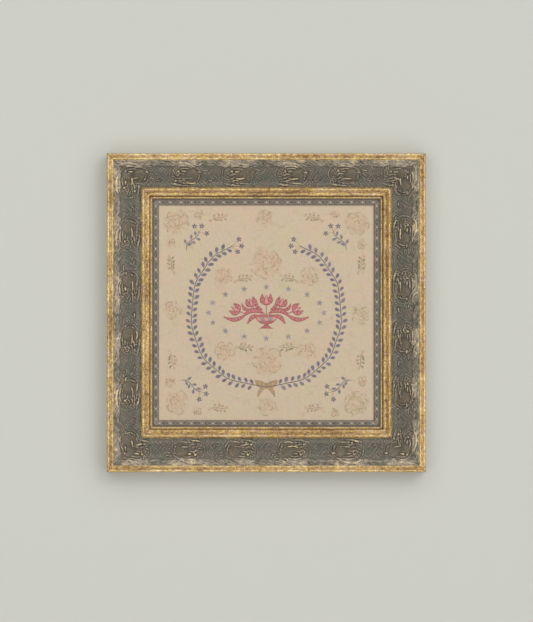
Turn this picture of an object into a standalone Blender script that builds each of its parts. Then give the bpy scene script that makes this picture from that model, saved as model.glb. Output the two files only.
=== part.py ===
"""Framed needlework: stretched embroidered linen in a square carved and gilded frame.

The picture is upright, as it hangs. +Z is up and the front faces -Y. The origin is on the
wall side of the hanger's raised middle. Lengths are in metres, but for the tables of
mouldings, which are in millimetres as a framer's drawing gives them.

A moulding's section is drawn in two directions: inward, from the frame's outer edge towards
the picture, and forward, from the flat back of the rails towards the viewer.
"""
import math
from collections import namedtuple

import bmesh
import bpy

MM = 0.001

# Driving dimensions
OUTER_SIDE = 357.5 * MM
PANEL_SIDE = 254.0 * MM
GAP = 0.3 * MM
HANGER_STANDOFF = 3.0 * MM
HANGER_BELOW_TOP_EDGE = 20.0 * MM
REPEATS_PER_SIDE = 6

# Sheets behind the sight edge, forward of the rails' back
BOARD_THICKNESS = 3.0 * MM
LINEN_THICKNESS = 1.2 * MM
POINT_THICKNESS = 0.5 * MM
POINT_LENGTH = 12.0 * MM
POINT_WIDTH = 6.5 * MM
POINT_SPACING = 120.0 * MM

# Carved ornament
CHANNEL_ROWS = 10
COLUMNS_PER_REPEAT = 18
STRAIGHT_COLUMNS = 40
MITRE_COLUMNS = 10
ORNAMENT_BASE = 1.3 * MM
SHELL_LENGTH = 28.0 * MM
SHELL_WIDTH = 21.0 * MM
SHELL_CROWN = 2.0 * MM
SCROLL_HEIGHT = 1.5 * MM
SCROLL_HALF_WIDTH = 2.1 * MM
SCROLL_OPENING = 1.2
RIM_LIP_FROM_MIDDLE = 11.0 * MM
RIM_LIP_SCALLOP = 1.5 * MM
SCALLOPS_PER_REPEAT = 3
RIM_LIP_HEIGHT = 1.2 * MM
RIM_LIP_HALF_WIDTH = 2.4 * MM
LEAF_HEIGHT = 1.3 * MM
LEAF_HALF_WIDTH = 3.2 * MM
LEAF_LENGTH = 13.0 * MM
LEAF_TILT = math.radians(52)

# Sawtooth hanger
HANGER_LENGTH = 44.0 * MM
HANGER_HEIGHT = 9.0 * MM
HANGER_STEEL = 0.8 * MM
HANGER_RAISED_HALF = 12.0 * MM
HANGER_BEND = 3.0 * MM
TOOTH_COUNT = 9
TOOTH_PITCH = 2.4 * MM
TOOTH_DEPTH = 1.2 * MM
NAIL_HEAD_RADIUS = 1.8 * MM
NAIL_HEAD_THICKNESS = 0.8 * MM
NAIL_HEAD_FLAT_RADIUS = 1.25 * MM
NAIL_SHANK_RADIUS = 0.7 * MM
NAIL_FROM_END = 3.4 * MM
NAIL_SIDES = 12

# A section is a run of strokes. Each goes on to its point, straight when its rise is 0, or
# as a bead (rise above 0) or a hollow (rise below 0) in the given number of steps.
Stroke = namedtuple("Stroke", "name inward forward rise steps")

RAIL_START = (0.0, 0.0)
RAIL_STROKES = (
    Stroke("outer face", 0.0, 27.0, 0.0, 1),
    Stroke("edge bead", 2.6, 27.2, 1.3, 6),
    Stroke("rim hollow", 4.9, 27.0, -0.8, 4),
    Stroke("second bead", 7.2, 26.0, 1.3, 6),
    Stroke("channel outer wall", 7.2, 24.6, 0.0, 1),
    Stroke("channel", 37.8, 13.2, -2.0, CHANNEL_ROWS),
    Stroke("channel inner wall", 37.8, 15.2, 0.0, 1),
    Stroke("inner bead", 42.7, 15.0, 2.8, 8),
    Stroke("inner hollow", 44.8, 14.6, -0.6, 3),
    Stroke("small bead", 47.6, 12.8, 0.9, 5),
    Stroke("lip edge", 47.6, 9.0, 0.0, 1),
    Stroke("lip underside", 42.0, 9.0, 0.0, 1),
    Stroke("rebate wall", 42.0, 0.0, 0.0, 1),
)

LINER_START = (42.3, 0.0)
LINER_STROKES = (
    Stroke("outer face", 42.3, 8.7, 0.0, 1),
    Stroke("flange under the lip", 47.9, 8.7, 0.0, 1),
    Stroke("bead wall", 47.9, 9.9, 0.0, 1),
    Stroke("thin bead", 50.4, 9.9, 1.2, 6),
    Stroke("band", 58.1, 9.2, 0.0, 1),
    Stroke("sight edge", 58.1, 6.8, 0.0, 1),
    Stroke("underside over the linen", 51.45, 6.8, 0.0, 1),
    Stroke("rebate wall", 51.45, 0.0, 0.0, 1),
)

# Each side is the top one turned about the picture's centre, anticlockwise as seen from the front
Side = namedtuple("Side", "name turn_degrees")
SIDES = (
    Side("top", 0.0),
    Side("left", -90.0),
    Side("bottom", 180.0),
    Side("right", 90.0),
)

# Linear colour, roughness and metallic value of each finish
Finish = namedtuple("Finish", "name colour roughness metallic")
GILT = Finish("worn_gilt", (0.50, 0.34, 0.16), 0.45, 0.55)
WASH = Finish("grey_washed_ornament", (0.20, 0.165, 0.125), 0.62, 0.05)
SLIP = Finish("grey_washed_liner", (0.20, 0.17, 0.135), 0.6, 0.1)
LINEN = Finish("embroidered_linen", (0.58, 0.46, 0.32), 0.9, 0.0)
BOARD = Finish("backing_board", (0.30, 0.22, 0.14), 0.85, 0.0)
STEEL = Finish("zinc_steel", (0.42, 0.42, 0.40), 0.38, 0.9)

HALF = OUTER_SIDE / 2
REPEAT = OUTER_SIDE / REPEATS_PER_SIDE
CENTRE_Z = HANGER_BELOW_TOP_EDGE - HALF
BEAD_SHARP_ANGLE = math.radians(42)


def clear_objects():
    """Start from an empty scene."""
    for item in list(bpy.data.objects):
        bpy.data.objects.remove(item, do_unlink=True)


def material(finish):
    """A Principled material for one finish."""
    result = bpy.data.materials.new(finish.name)
    result.use_nodes = True
    shader = result.node_tree.nodes["Principled BSDF"]
    shader.inputs["Base Color"].default_value = (*finish.colour, 1.0)
    shader.inputs["Roughness"].default_value = finish.roughness
    shader.inputs["Metallic"].default_value = finish.metallic
    return result


def mesh_from_faces(name, vertices, faces, finish, smooth=False):
    """A mesh with its faces turned outward and its finish."""
    mesh = bpy.data.meshes.new(name)
    mesh.from_pydata(vertices, [], faces)
    work = bmesh.new()
    work.from_mesh(mesh)
    bmesh.ops.recalc_face_normals(work, faces=work.faces)
    work.to_mesh(mesh)
    work.free()
    if smooth:
        mesh.shade_smooth()
        mesh.set_sharp_from_angle(angle=BEAD_SHARP_ANGLE)
    mesh.materials.append(material(finish))
    return mesh


def place(name, mesh, parent=None, location=(0.0, 0.0, 0.0), turn_y=0.0):
    """One named object, placed under its parent."""
    item = bpy.data.objects.new(name, mesh)
    bpy.context.scene.collection.objects.link(item)
    item.parent = parent
    item.location = location
    item.rotation_euler = (0.0, turn_y, 0.0)
    return item


def stroke_named(strokes, name):
    """A section's stroke of that name, and the point before it."""
    names = [stroke.name for stroke in strokes]
    place_in_section = names.index(name)
    before = strokes[place_in_section - 1]
    return strokes[place_in_section], (before.inward, before.forward)


def stroke_points(start, stroke):
    """Points of one stroke after its start, in millimetres."""
    points = []
    for step in range(1, stroke.steps + 1):
        share = step / stroke.steps
        inward = start[0] + (stroke.inward - start[0]) * share
        forward = start[1] + (stroke.forward - start[1]) * share
        points.append((inward, forward + stroke.rise * math.sin(math.pi * share)))
    return points


def section(start, strokes):
    """The closed outline of a moulding, in metres."""
    points = [start]
    for stroke in strokes:
        points += stroke_points(points[-1], stroke)
    if points[-1][1] != start[1]:
        raise ValueError("the section must end on the flat back")
    return [(inward * MM, forward * MM) for inward, forward in points]


def half_length(inward):
    """Half a side's length at a distance in from the outer edge, clear of the mitre."""
    return HALF - inward - GAP / math.sqrt(2)


def mitred_bar(name, outline, finish):
    """The top side of a square of moulding: its section carried from mitre to mitre."""
    vertices = []
    for end in (-1, 1):
        for inward, forward in outline:
            vertices.append((end * half_length(inward), -forward, HALF - inward))
    count = len(outline)
    faces = [tuple(range(count)), tuple(range(count, 2 * count))]
    for index in range(count):
        following = (index + 1) % count
        faces.append((index, following, following + count, index + count))
    return mesh_from_faces(name, vertices, faces, finish, smooth=True)


def channel_ground():
    """The scooped floor of the rail's channel, outer wall to inner wall, in metres."""
    scoop, start = stroke_named(RAIL_STROKES, "channel")
    points = [start] + stroke_points(start, scoop)
    return [(inward * MM, forward * MM) for inward, forward in points]


def seated_rows():
    """Rows of the ornament's underside: the channel's floor, clear of it by the gap all round."""
    rows = [(inward, forward + GAP) for inward, forward in channel_ground()]
    for end, beside, step in ((0, 1, GAP), (-1, -2, -GAP)):
        slope = (rows[beside][1] - rows[end][1]) / (rows[beside][0] - rows[end][0])
        rows[end] = (rows[end][0] + step, rows[end][1] + slope * step)
    return rows


def ridge(distance, half_width):
    """A rounded ridge: 1 on its crest, falling off to 0 on both sides."""
    return math.exp(-((distance / half_width) ** 2))


def relief(along, across):
    """Height of the ornament over its base, for one repeat of the running pattern.

    A crowned oval shell stands at the middle of each repeat. An open scroll runs round it and
    leaves its left end free, a scalloped lip runs above it along the rim, and a slanting leaf
    fills the space between two shells. Across is measured from the strip's middle, inward.
    """
    shell = (along % REPEAT) - REPEAT / 2
    reach = math.hypot(shell / (SHELL_LENGTH / 2), across / (SHELL_WIDTH / 2))
    crown = SHELL_CROWN * math.sqrt(max(0.0, 1.0 - reach * reach))
    closed = min(1.0, max(0.0, SCROLL_OPENING + shell / (SHELL_LENGTH / 2)))
    scroll = SCROLL_HEIGHT * closed * ridge((reach - 1.0) * SHELL_WIDTH / 2, SCROLL_HALF_WIDTH)
    scallop = math.cos(2 * math.pi * SCALLOPS_PER_REPEAT * shell / REPEAT)
    lip_across = RIM_LIP_SCALLOP * scallop - RIM_LIP_FROM_MIDDLE
    lip = RIM_LIP_HEIGHT * ridge(across - lip_across, RIM_LIP_HALF_WIDTH)
    between = shell - math.copysign(REPEAT / 2, shell)
    stem = between * math.cos(LEAF_TILT) + across * math.sin(LEAF_TILT)
    side = across * math.cos(LEAF_TILT) - between * math.sin(LEAF_TILT)
    leaf = LEAF_HEIGHT * ridge(side, LEAF_HALF_WIDTH) * ridge(stem, LEAF_LENGTH)
    return max(crown + scroll, leaf) + lip


def columns_along(inward):
    """Column places on one row: evenly spaced in the middle, then closing up to each mitre."""
    pitch = REPEAT / COLUMNS_PER_REPEAT
    straight = [pitch * column for column in range(-STRAIGHT_COLUMNS, STRAIGHT_COLUMNS + 1)]
    room = half_length(inward) - straight[-1]
    towards = [room * (step + 1) / MITRE_COLUMNS for step in range(MITRE_COLUMNS)]
    left = [straight[0] - step for step in reversed(towards)]
    right = [straight[-1] + step for step in towards]
    return left + straight + right


def ornament_strip():
    """The top strip of ornament: a raised skin over the channel's floor, mitred at both ends."""
    rows = seated_rows()
    middle = (rows[0][0] + rows[-1][0]) / 2
    vertices = []
    for inward, forward in rows:
        for along in columns_along(inward):
            height = forward + ORNAMENT_BASE + relief(along, inward - middle)
            vertices.append((along, -height, HALF - inward))
    under = len(vertices)
    for inward, forward in rows:
        for end in (-1, 1):
            vertices.append((end * half_length(inward), -forward, HALF - inward))

    wide = under // len(rows)
    faces = []
    for row in range(len(rows) - 1):
        for column in range(wide - 1):
            corner = row * wide + column
            faces.append((corner, corner + 1, corner + 1 + wide, corner + wide))
        left = under + 2 * row
        faces.append((left, left + 1, left + 3, left + 2))
    for row in (0, len(rows) - 1):
        edge = [row * wide + column for column in range(wide)]
        faces.append(tuple(edge + [under + 2 * row + 1, under + 2 * row]))
    for column, side in ((0, 0), (wide - 1, 1)):
        top = [row * wide + column for row in range(len(rows))]
        bottom = [under + 2 * row + side for row in reversed(range(len(rows)))]
        faces.append(tuple(top + bottom))
    return mesh_from_faces("ornament_strip", vertices, faces, WASH, smooth=True)


def flat_plate(name, outline, back, thickness, finish):
    """A flat plate: an outline in the picture's plane, from its back a thickness forward."""
    count = len(outline)
    vertices = [(x, -back, z) for x, z in outline]
    vertices += [(x, -back - thickness, z) for x, z in outline]
    faces = [tuple(range(count)), tuple(range(count, 2 * count))]
    for index in range(count):
        following = (index + 1) % count
        faces.append((index, following, following + count, index + count))
    return mesh_from_faces(name, vertices, faces, finish)


def square(side):
    """Corners of a square about the picture's centre."""
    reach = side / 2
    return [(-reach, -reach), (reach, -reach), (reach, reach), (-reach, reach)]


def build_mouldings(centre):
    """Rails, ornament and liner: one mesh each, turned to the four sides."""
    shared = {
        "rail": mitred_bar("rail", section(RAIL_START, RAIL_STROKES), GILT),
        "ornament": ornament_strip(),
        "liner": mitred_bar("liner", section(LINER_START, LINER_STROKES), SLIP),
    }
    for kind, mesh in shared.items():
        for side in SIDES:
            place(f"{kind}_{side.name}", mesh, centre, turn_y=math.radians(side.turn_degrees))


def build_sheets(centre):
    """The stretched linen under the liner's lip, and the board behind it."""
    sight_edge, _ = stroke_named(LINER_STROKES, "sight edge")
    linen_back = sight_edge.forward * MM - GAP - LINEN_THICKNESS
    board_back = linen_back - GAP - BOARD_THICKNESS
    linen = flat_plate("needlework", square(PANEL_SIDE), linen_back, LINEN_THICKNESS, LINEN)
    board = flat_plate("backing_board", square(PANEL_SIDE), board_back, BOARD_THICKNESS, BOARD)
    place("needlework", linen, centre)
    place("backing_board", board, centre)
    return board_back


def build_points(centre, board_back):
    """Two flat points on each side, standing in from the liner's rebate wall behind the board."""
    wall, _ = stroke_named(LINER_STROKES, "rebate wall")
    top = HALF - wall.inward * MM - GAP
    reach = POINT_WIDTH / 2
    nose = POINT_WIDTH / 4
    outline = [
        (-reach, top),
        (-reach, top - POINT_LENGTH + nose),
        (-reach + nose, top - POINT_LENGTH),
        (reach - nose, top - POINT_LENGTH),
        (reach, top - POINT_LENGTH + nose),
        (reach, top),
    ]
    back = board_back - GAP - POINT_THICKNESS
    for side in SIDES:
        for number, offset in ((1, -POINT_SPACING / 2), (2, POINT_SPACING / 2)):
            shifted = [(x + offset, z) for x, z in outline]
            name = f"point_{side.name}_{number}"
            mesh = flat_plate(name, shifted, back, POINT_THICKNESS, STEEL)
            place(name, mesh, centre, turn_y=math.radians(side.turn_degrees))


def hanger_plate():
    """The hanger's wall side as an open sheet: two flat ends, two bends and a toothed middle."""
    low = -HANGER_HEIGHT / 2
    high = HANGER_HEIGHT / 2
    raised = HANGER_RAISED_HALF
    foot = raised + HANGER_BEND
    end = HANGER_LENGTH / 2
    seat = -HANGER_STANDOFF + GAP + HANGER_STEEL
    teeth_left = -TOOTH_COUNT * TOOTH_PITCH / 2
    vertices = [(-raised, 0.0, high), (raised, 0.0, high), (raised, 0.0, low)]
    for tooth in reversed(range(TOOTH_COUNT)):
        start = teeth_left + tooth * TOOTH_PITCH
        vertices.append((start + TOOTH_PITCH, 0.0, low))
        vertices.append((start + TOOTH_PITCH / 2, 0.0, low + TOOTH_DEPTH))
    vertices += [(teeth_left, 0.0, low), (-raised, 0.0, low)]
    middle = tuple(range(len(vertices)))
    faces = [middle]
    for side, top_corner, low_corner in ((-1, 0, len(vertices) - 1), (1, 1, 2)):
        first = len(vertices)
        vertices += [(side * foot, seat, high), (side * foot, seat, low)]
        vertices += [(side * end, seat, high), (side * end, seat, low)]
        faces.append((top_corner, first, first + 1, low_corner))
        faces.append((first, first + 2, first + 3, first + 1))
    mesh = mesh_from_faces("hanger", vertices, faces, STEEL)
    if mesh.polygons[0].normal.y < 0:
        mesh.flip_normals()
    return mesh


def turned_nail():
    """A flat-headed nail on the Y axis, head towards the wall: rings about its axis, closed ends."""
    head_back = -HANGER_STANDOFF + 2 * GAP + HANGER_STEEL
    tip = -HANGER_STANDOFF + GAP
    profile = [
        (NAIL_SHANK_RADIUS, tip),
        (NAIL_SHANK_RADIUS, head_back),
        (NAIL_HEAD_RADIUS, head_back),
        (NAIL_HEAD_RADIUS, head_back + NAIL_HEAD_THICKNESS / 2),
        (NAIL_HEAD_FLAT_RADIUS, head_back + NAIL_HEAD_THICKNESS),
    ]
    vertices = []
    for radius, along in profile:
        for step in range(NAIL_SIDES):
            angle = 2 * math.pi * step / NAIL_SIDES
            vertices.append((radius * math.cos(angle), along, radius * math.sin(angle)))
    last = len(vertices) - NAIL_SIDES
    faces = [tuple(range(NAIL_SIDES)), tuple(range(last, last + NAIL_SIDES))]
    for ring in range(len(profile) - 1):
        for step in range(NAIL_SIDES):
            following = (step + 1) % NAIL_SIDES
            near = ring * NAIL_SIDES
            far = near + NAIL_SIDES
            faces.append((near + step, near + following, far + following, far + step))
    return mesh_from_faces("hanger_nail", vertices, faces, STEEL, smooth=True)


def nail_hole(name, x):
    """A cutter for one nail hole in the hanger."""
    bore = bmesh.new()
    bmesh.ops.create_cone(
        bore,
        cap_ends=True,
        segments=NAIL_SIDES,
        radius1=NAIL_SHANK_RADIUS + GAP,
        radius2=NAIL_SHANK_RADIUS + GAP,
        depth=4 * HANGER_STEEL,
    )
    mesh = bpy.data.meshes.new(name)
    bore.to_mesh(mesh)
    bore.free()
    cutter = place(name, mesh, location=(x, -HANGER_STANDOFF + GAP + HANGER_STEEL / 2, 0.0))
    cutter.rotation_euler = (math.pi / 2, 0.0, 0.0)
    cutter.hide_render = True
    cutter.display_type = "WIRE"
    return cutter


def build_hanger():
    """The sawtooth hanger, seated on the top rail's back, and a nail through each end."""
    hanger = place("hanger", hanger_plate())
    steel = hanger.modifiers.new("steel", "SOLIDIFY")
    steel.thickness = HANGER_STEEL
    steel.offset = -1.0
    steel.use_even_offset = True
    nail = turned_nail()
    nail_x = HANGER_LENGTH / 2 - NAIL_FROM_END
    for name, x in (("left", -nail_x), ("right", nail_x)):
        hole = hanger.modifiers.new(f"nail_hole_{name}", "BOOLEAN")
        hole.operation = "DIFFERENCE"
        hole.solver = "EXACT"
        hole.object = nail_hole(f"nail_cutter_{name}", x)
        place(f"hanger_nail_{name}", nail, location=(x, 0.0, 0.0))


def main():
    clear_objects()
    centre = bpy.data.objects.new("picture_centre", None)
    bpy.context.scene.collection.objects.link(centre)
    centre.location = (0.0, -HANGER_STANDOFF, CENTRE_Z)
    build_mouldings(centre)
    board_back = build_sheets(centre)
    build_points(centre, board_back)
    build_hanger()
    bpy.context.view_layer.update()


main()
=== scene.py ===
"""Looks of the framed needlework: gilded moulding, washed ornament, linen and its stitches.

Everything is in metres, +Z is up and the front faces -Y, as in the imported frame. A moulding is
drawn by its distance inward from the frame's outer edge and its height forward from the flat
back of the rails, and then turned to the four sides. The tables of mouldings, ornament and
needlework are in millimetres.
"""
import math
from collections import namedtuple
from functools import partial

import bpy
import numpy as np
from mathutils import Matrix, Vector


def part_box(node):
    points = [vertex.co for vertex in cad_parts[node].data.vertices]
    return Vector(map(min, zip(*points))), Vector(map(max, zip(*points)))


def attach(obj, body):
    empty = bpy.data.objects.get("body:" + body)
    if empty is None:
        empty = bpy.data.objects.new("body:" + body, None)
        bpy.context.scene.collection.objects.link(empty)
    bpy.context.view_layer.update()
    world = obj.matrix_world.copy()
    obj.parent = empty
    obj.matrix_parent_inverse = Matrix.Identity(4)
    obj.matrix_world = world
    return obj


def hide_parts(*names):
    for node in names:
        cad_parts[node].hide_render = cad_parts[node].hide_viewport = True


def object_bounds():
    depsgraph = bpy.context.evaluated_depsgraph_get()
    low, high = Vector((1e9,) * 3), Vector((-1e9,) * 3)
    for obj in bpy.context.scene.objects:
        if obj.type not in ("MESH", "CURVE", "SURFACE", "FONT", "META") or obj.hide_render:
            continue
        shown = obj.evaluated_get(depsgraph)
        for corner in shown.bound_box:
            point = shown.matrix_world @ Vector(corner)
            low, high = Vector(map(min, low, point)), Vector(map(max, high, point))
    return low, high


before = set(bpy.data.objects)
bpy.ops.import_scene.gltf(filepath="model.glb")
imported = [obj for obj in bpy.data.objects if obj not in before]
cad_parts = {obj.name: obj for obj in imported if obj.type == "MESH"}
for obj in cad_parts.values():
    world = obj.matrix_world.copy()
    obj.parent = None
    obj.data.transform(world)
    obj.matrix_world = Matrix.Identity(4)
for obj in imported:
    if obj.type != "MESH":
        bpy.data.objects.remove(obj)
CAD_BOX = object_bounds()

bl_info = {
    "name": "Framed needlework",
    "version": (1, 0, 0),
    "blender": (4, 5, 0),
    "location": "View3D > Sidebar > Needlework",
    "description": "Builds a stitched linen picture in a gilded and washed moulding frame",
    "category": "Object",
}

MM = 0.001

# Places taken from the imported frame
HALF = (CAD_BOX[1].x - CAD_BOX[0].x) / 2
CENTRE_Z = (CAD_BOX[1].z + CAD_BOX[0].z) / 2
BACK_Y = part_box("rail_top")[1].y
LINEN_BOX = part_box("needlework")
LINEN_SIDE = LINEN_BOX[1].x - LINEN_BOX[0].x
LINEN_FRONT = BACK_Y - LINEN_BOX[0].y
SEAT_GAP = 0.3 * MM
MITRE_GAP = 0.1 * MM
RAIL_WEAR = 0.12 * MM
LINER_WEAR = 0.05 * MM

# Photograph's frame, in pixels, and what it shows of the part
PICTURE_WIDE = 533
PICTURE_HIGH = 622
FRAME_WIDE_PX = 318.85
FRAME_CENTRE_PX = (266.3, 312.75)

Side = namedtuple("Side", "name turn_degrees")
SIDES = (
    Side("top", 0.0),
    Side("left", -90.0),
    Side("bottom", 180.0),
    Side("right", 90.0),
)

# The rail's scooped channel: where it starts, how wide it is, its height at its outer and inner
# walls, and how far it sags between them
CHANNEL_START = 7.2
CHANNEL_WIDTH = 30.6
CHANNEL_HIGH = 24.6
CHANNEL_LOW = 13.2
CHANNEL_SAG = 2.0

# One stroke of a moulding's outline, on to its point: straight when its rise is 0, or as a bead
# or hollow. Crest says how brightly its gold is rubbed and lit, painting highlight on the beads
# and shade in the hollows, quirks and the lip's inner face; raw says how bare its wood is left.
Stroke = namedtuple("Stroke", "name inward forward rise steps crest raw")
RAIL_START = (0.0, 0.0)
RAIL_STROKES = (
    Stroke("outer face", 0.0, 27.0, 0.0, 4, 1.2, 0.0),
    Stroke("edge bead", 2.7, 27.25, 0.62, 9, 0.34, 0.0),
    Stroke("rim hollow", 4.9, 27.0, -0.6, 6, -0.2, 0.0),
    Stroke("second bead", 7.2, 26.4, 0.85, 8, 0.5, 0.0),
    Stroke("channel outer wall", CHANNEL_START, CHANNEL_HIGH, 0.0, 2, 1.8, 0.0),
    Stroke("channel", 37.8, CHANNEL_LOW, -CHANNEL_SAG, 10, 0.0, 0.0),
    Stroke("channel inner wall", 37.8, 15.2, 0.0, 2, 0.1, 0.0),
    Stroke("inner bead", 42.9, 15.2, 2.7, 12, 0.22, 0.0),
    Stroke("inner hollow", 45.2, 14.5, -0.6, 5, -0.40, 0.0),
    Stroke("small bead", 47.6, 12.8, 0.85, 8, 0.06, 0.0),
    Stroke("lip edge", 47.6, 9.0, 0.0, 2, -1.6, 0.0),
    Stroke("lip underside", 42.0, 9.0, 0.0, 1, 0.0, 1.0),
    Stroke("rebate wall", 42.0, 0.0, 0.0, 1, 0.0, 1.0),
    Stroke("back", 0.0, 0.0, 0.0, 4, 0.0, 1.0),
)
LINER_START = (42.3, 0.0)
LINER_STROKES = (
    Stroke("outer face", 42.3, 8.7, 0.0, 1, 0.0, 1.0),
    Stroke("flange under the lip", 47.9, 8.7, 0.0, 1, 0.0, 1.0),
    Stroke("bead wall", 47.9, 9.9, 0.0, 1, -0.2, 0.0),
    Stroke("thin bead", 50.3, 9.9, 1.1, 9, 0.38, 0.0),
    Stroke("dark quirk", 52.2, 9.5, -0.7, 5, 0.0, 0.0),
    Stroke("pearl bed", 56.6, 9.1, -0.25, 5, 0.0, 0.0),
    Stroke("sight bevel", 57.8, 7.6, 0.2, 4, 0.1, 0.0),
    Stroke("sight edge", 57.8, 6.8, 0.0, 2, 0.0, 0.0),
    Stroke("underside over the linen", 51.45, 6.8, 0.0, 1, 0.0, 1.0),
    Stroke("rebate wall", 51.45, 0.0, 0.0, 1, 0.0, 1.0),
    Stroke("back", 42.3, 0.0, 0.0, 1, 0.0, 1.0),
)
RAIL_COLUMNS = 180
LINER_COLUMNS = 120

# The liner's gilding and its two dark lines of painted shade, in the quirk and by the sight edge,
# in millimetres inward, and what stands on its bed
GILDING_END = 50.5
QUIRK_LINE = 51.6
SIGHT_LINE = 57.3
PEARL_ROW = 54.4 * MM
PEARL_BED = 9.15 * MM
PEARL_HIGH = 1.2 * MM
LOZENGE_LONG = 3.6 * MM
LOZENGE_WIDE = 1.5 * MM
LOZENGE_HIGH = 0.8 * MM
LOZENGE_LIFT = 0.38

# Ornament: one repeat of the running pattern, x along the rail from the shell's middle and
# y inward from the strip's middle
REPEAT = 2 * HALF / 6
STRIP_OUTER = 7.32 * MM
STRIP_INNER = 37.5 * MM
STRIP_BASE = 1.3 * MM
STRIP_ROWS = 68
STRAIGHT_REACH = 132.4 * MM
STRAIGHT_COLUMNS = 570
MITRE_COLUMNS = 50
SHELL_LENGTH = 28.0
SHELL_WIDTH = 21.0

# Each ridge follows a cubic curve through its two ends, pulled by the two points between. Gold says
# how far its crest is rubbed back to the leaf.
Ridge = namedtuple("Ridge", "name x0 y0 x1 y1 x2 y2 x3 y3 wide height gold")
RIDGES = (
    Ridge("outer arch", -16.5, -9.4, -11.0, -12.8, -1.0, -12.6, 5.0, -9.4, 1.25, 1.05, 0.42),
    Ridge("second arch", -10.5, -6.4, -7.0, -8.8, -1.0, -8.6, 5.0, -6.8, 0.95, 1.10, 0.32),
    Ridge("third arch", -6.5, -4.4, -3.5, -5.6, 0.0, -5.7, 3.8, -4.8, 0.75, 0.95, 0.30),
    Ridge("scroll back", 5.0, -6.8, 12.0, -7.2, 17.5, -2.5, 16.6, 4.0, 0.75, 0.45, 0.03),
    Ridge("scroll foot", 16.6, 4.4, 16.4, 10.0, 10.0, 13.6, 2.0, 13.5, 0.80, 0.46, 0.02),
    Ridge("foot curl", 1.2, 13.5, -5.0, 13.4, -10.0, 14.0, -17.4, 11.4, 0.95, 0.95, 0.20),
    Ridge("inner back", 13.0, -1.6, 14.8, 3.0, 13.6, 7.0, 10.8, 9.2, 0.70, 0.70, 0.08),
    Ridge("inner foot", 10.0, 10.4, 7.4, 11.6, 4.0, 11.6, -0.5, 10.4, 0.90, 1.05, 0.52),
    Ridge("first lobe", -5.6, 5.3, -2.0, 6.5, 2.0, 6.3, 6.2, 5.2, 0.95, 1.05, 0.58),
    Ridge("second lobe", -11.8, 5.6, -9.6, 6.2, -8.0, 5.6, -6.4, 4.2, 0.95, 0.90, 0.34),
    Ridge("third lobe", -10.0, 8.6, -6.6, 8.8, -4.4, 7.4, -1.2, 7.6, 1.00, 1.00, 0.40),
    Ridge("upper lobe", -11.6, 2.0, -9.0, 0.6, -6.4, -0.4, -3.2, 1.2, 0.95, 0.95, 0.24),
    Ridge("lower streak", -14.8, 11.2, -12.8, 11.8, -11.0, 12.4, -9.4, 13.2, 1.05, 1.05, 0.50),
    Ridge("twist", 4.8, -9.6, 6.0, -7.8, 8.0, -7.0, 10.4, -7.8, 0.85, 0.85, 0.30),
    Ridge("rim leaf left", 6.0, -13.8, 8.0, -11.6, 9.4, -9.8, 12.0, -8.8, 1.05, 0.85, 0.40),
    Ridge("rim leaf right", 12.4, -8.8, 14.0, -9.8, 16.4, -11.8, 19.4, -13.2, 1.05, 0.85, 0.30),
    Ridge("near wave", 20.0, -9.4, 24.0, -12.0, 28.0, -8.0, 33.0, -10.2, 0.85, 0.60, 0.06),
    Ridge("far wave", 33.0, -9.2, 36.0, -7.8, 39.0, -8.4, 43.0, -11.0, 0.85, 0.65, 0.10),
    Ridge("outer wave", 20.5, -12.8, 25.0, -14.0, 30.0, -11.4, 38.0, -12.8, 0.80, 0.50, 0.04),
    Ridge("left frond", -15.4, 10.2, -21.6, 5.6, -22.0, -4.6, -14.0, -9.0, 0.65, 0.48, 0.03),
    Ridge("inner frond", -13.6, 7.0, -18.4, 3.0, -18.0, -3.8, -11.8, -6.8, 0.65, 0.48, 0.03),
    Ridge("first slant", 17.8, 9.4, 20.8, 5.4, 25.0, -1.0, 30.6, -7.4, 0.55, 0.52, 0.05),
    Ridge("second slant", 20.4, 12.2, 24.4, 7.4, 28.0, 1.0, 34.0, -6.6, 0.58, 0.55, 0.06),
    Ridge("third slant", 24.0, 13.4, 27.0, 9.8, 31.0, 4.0, 36.2, -2.6, 0.55, 0.50, 0.04),
    Ridge("fourth slant", 28.4, 13.6, 30.6, 11.2, 33.4, 8.0, 37.4, 2.6, 0.55, 0.42, 0.04),
)
# Ridges that spread from one root: they start at that distance from it, and bend by the curl
Fan = namedtuple("Fan", "name x y first_angle last_angle count start length curl wide height gold")
FANS = (
    Fan("left hair", -3.0, 1.5, 150.0, 208.0, 5, 9.6, 5.4, 12.0, 0.60, 0.75, 0.06),
    Fan("right hair", 4.0, 2.0, -40.0, 36.0, 6, 14.6, 4.8, 10.0, 0.60, 0.75, 0.06),
    Fan("shell flutes", 12.4, 3.2, 132.0, 232.0, 5, 2.2, 6.6, 0.0, 0.60, 0.30, 0.00),
    Fan("upper hair", 2.0, 4.0, -150.0, -96.0, 5, 15.2, 4.0, 16.0, 0.60, 0.65, 0.10),
)
Volute = namedtuple("Volute", "name x y radius first_angle turn wide height gold")
VOLUTES = (
    Volute("head volute", -10.2, -0.4, 3.2, 180.0, -400.0, 0.8, 0.95, 0.24),
    Volute("foot volute", -16.0, 9.0, 2.6, 150.0, -400.0, 0.7, 0.8, 0.16),
)
Boss = namedtuple("Boss", "name x y long wide height gold")
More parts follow.
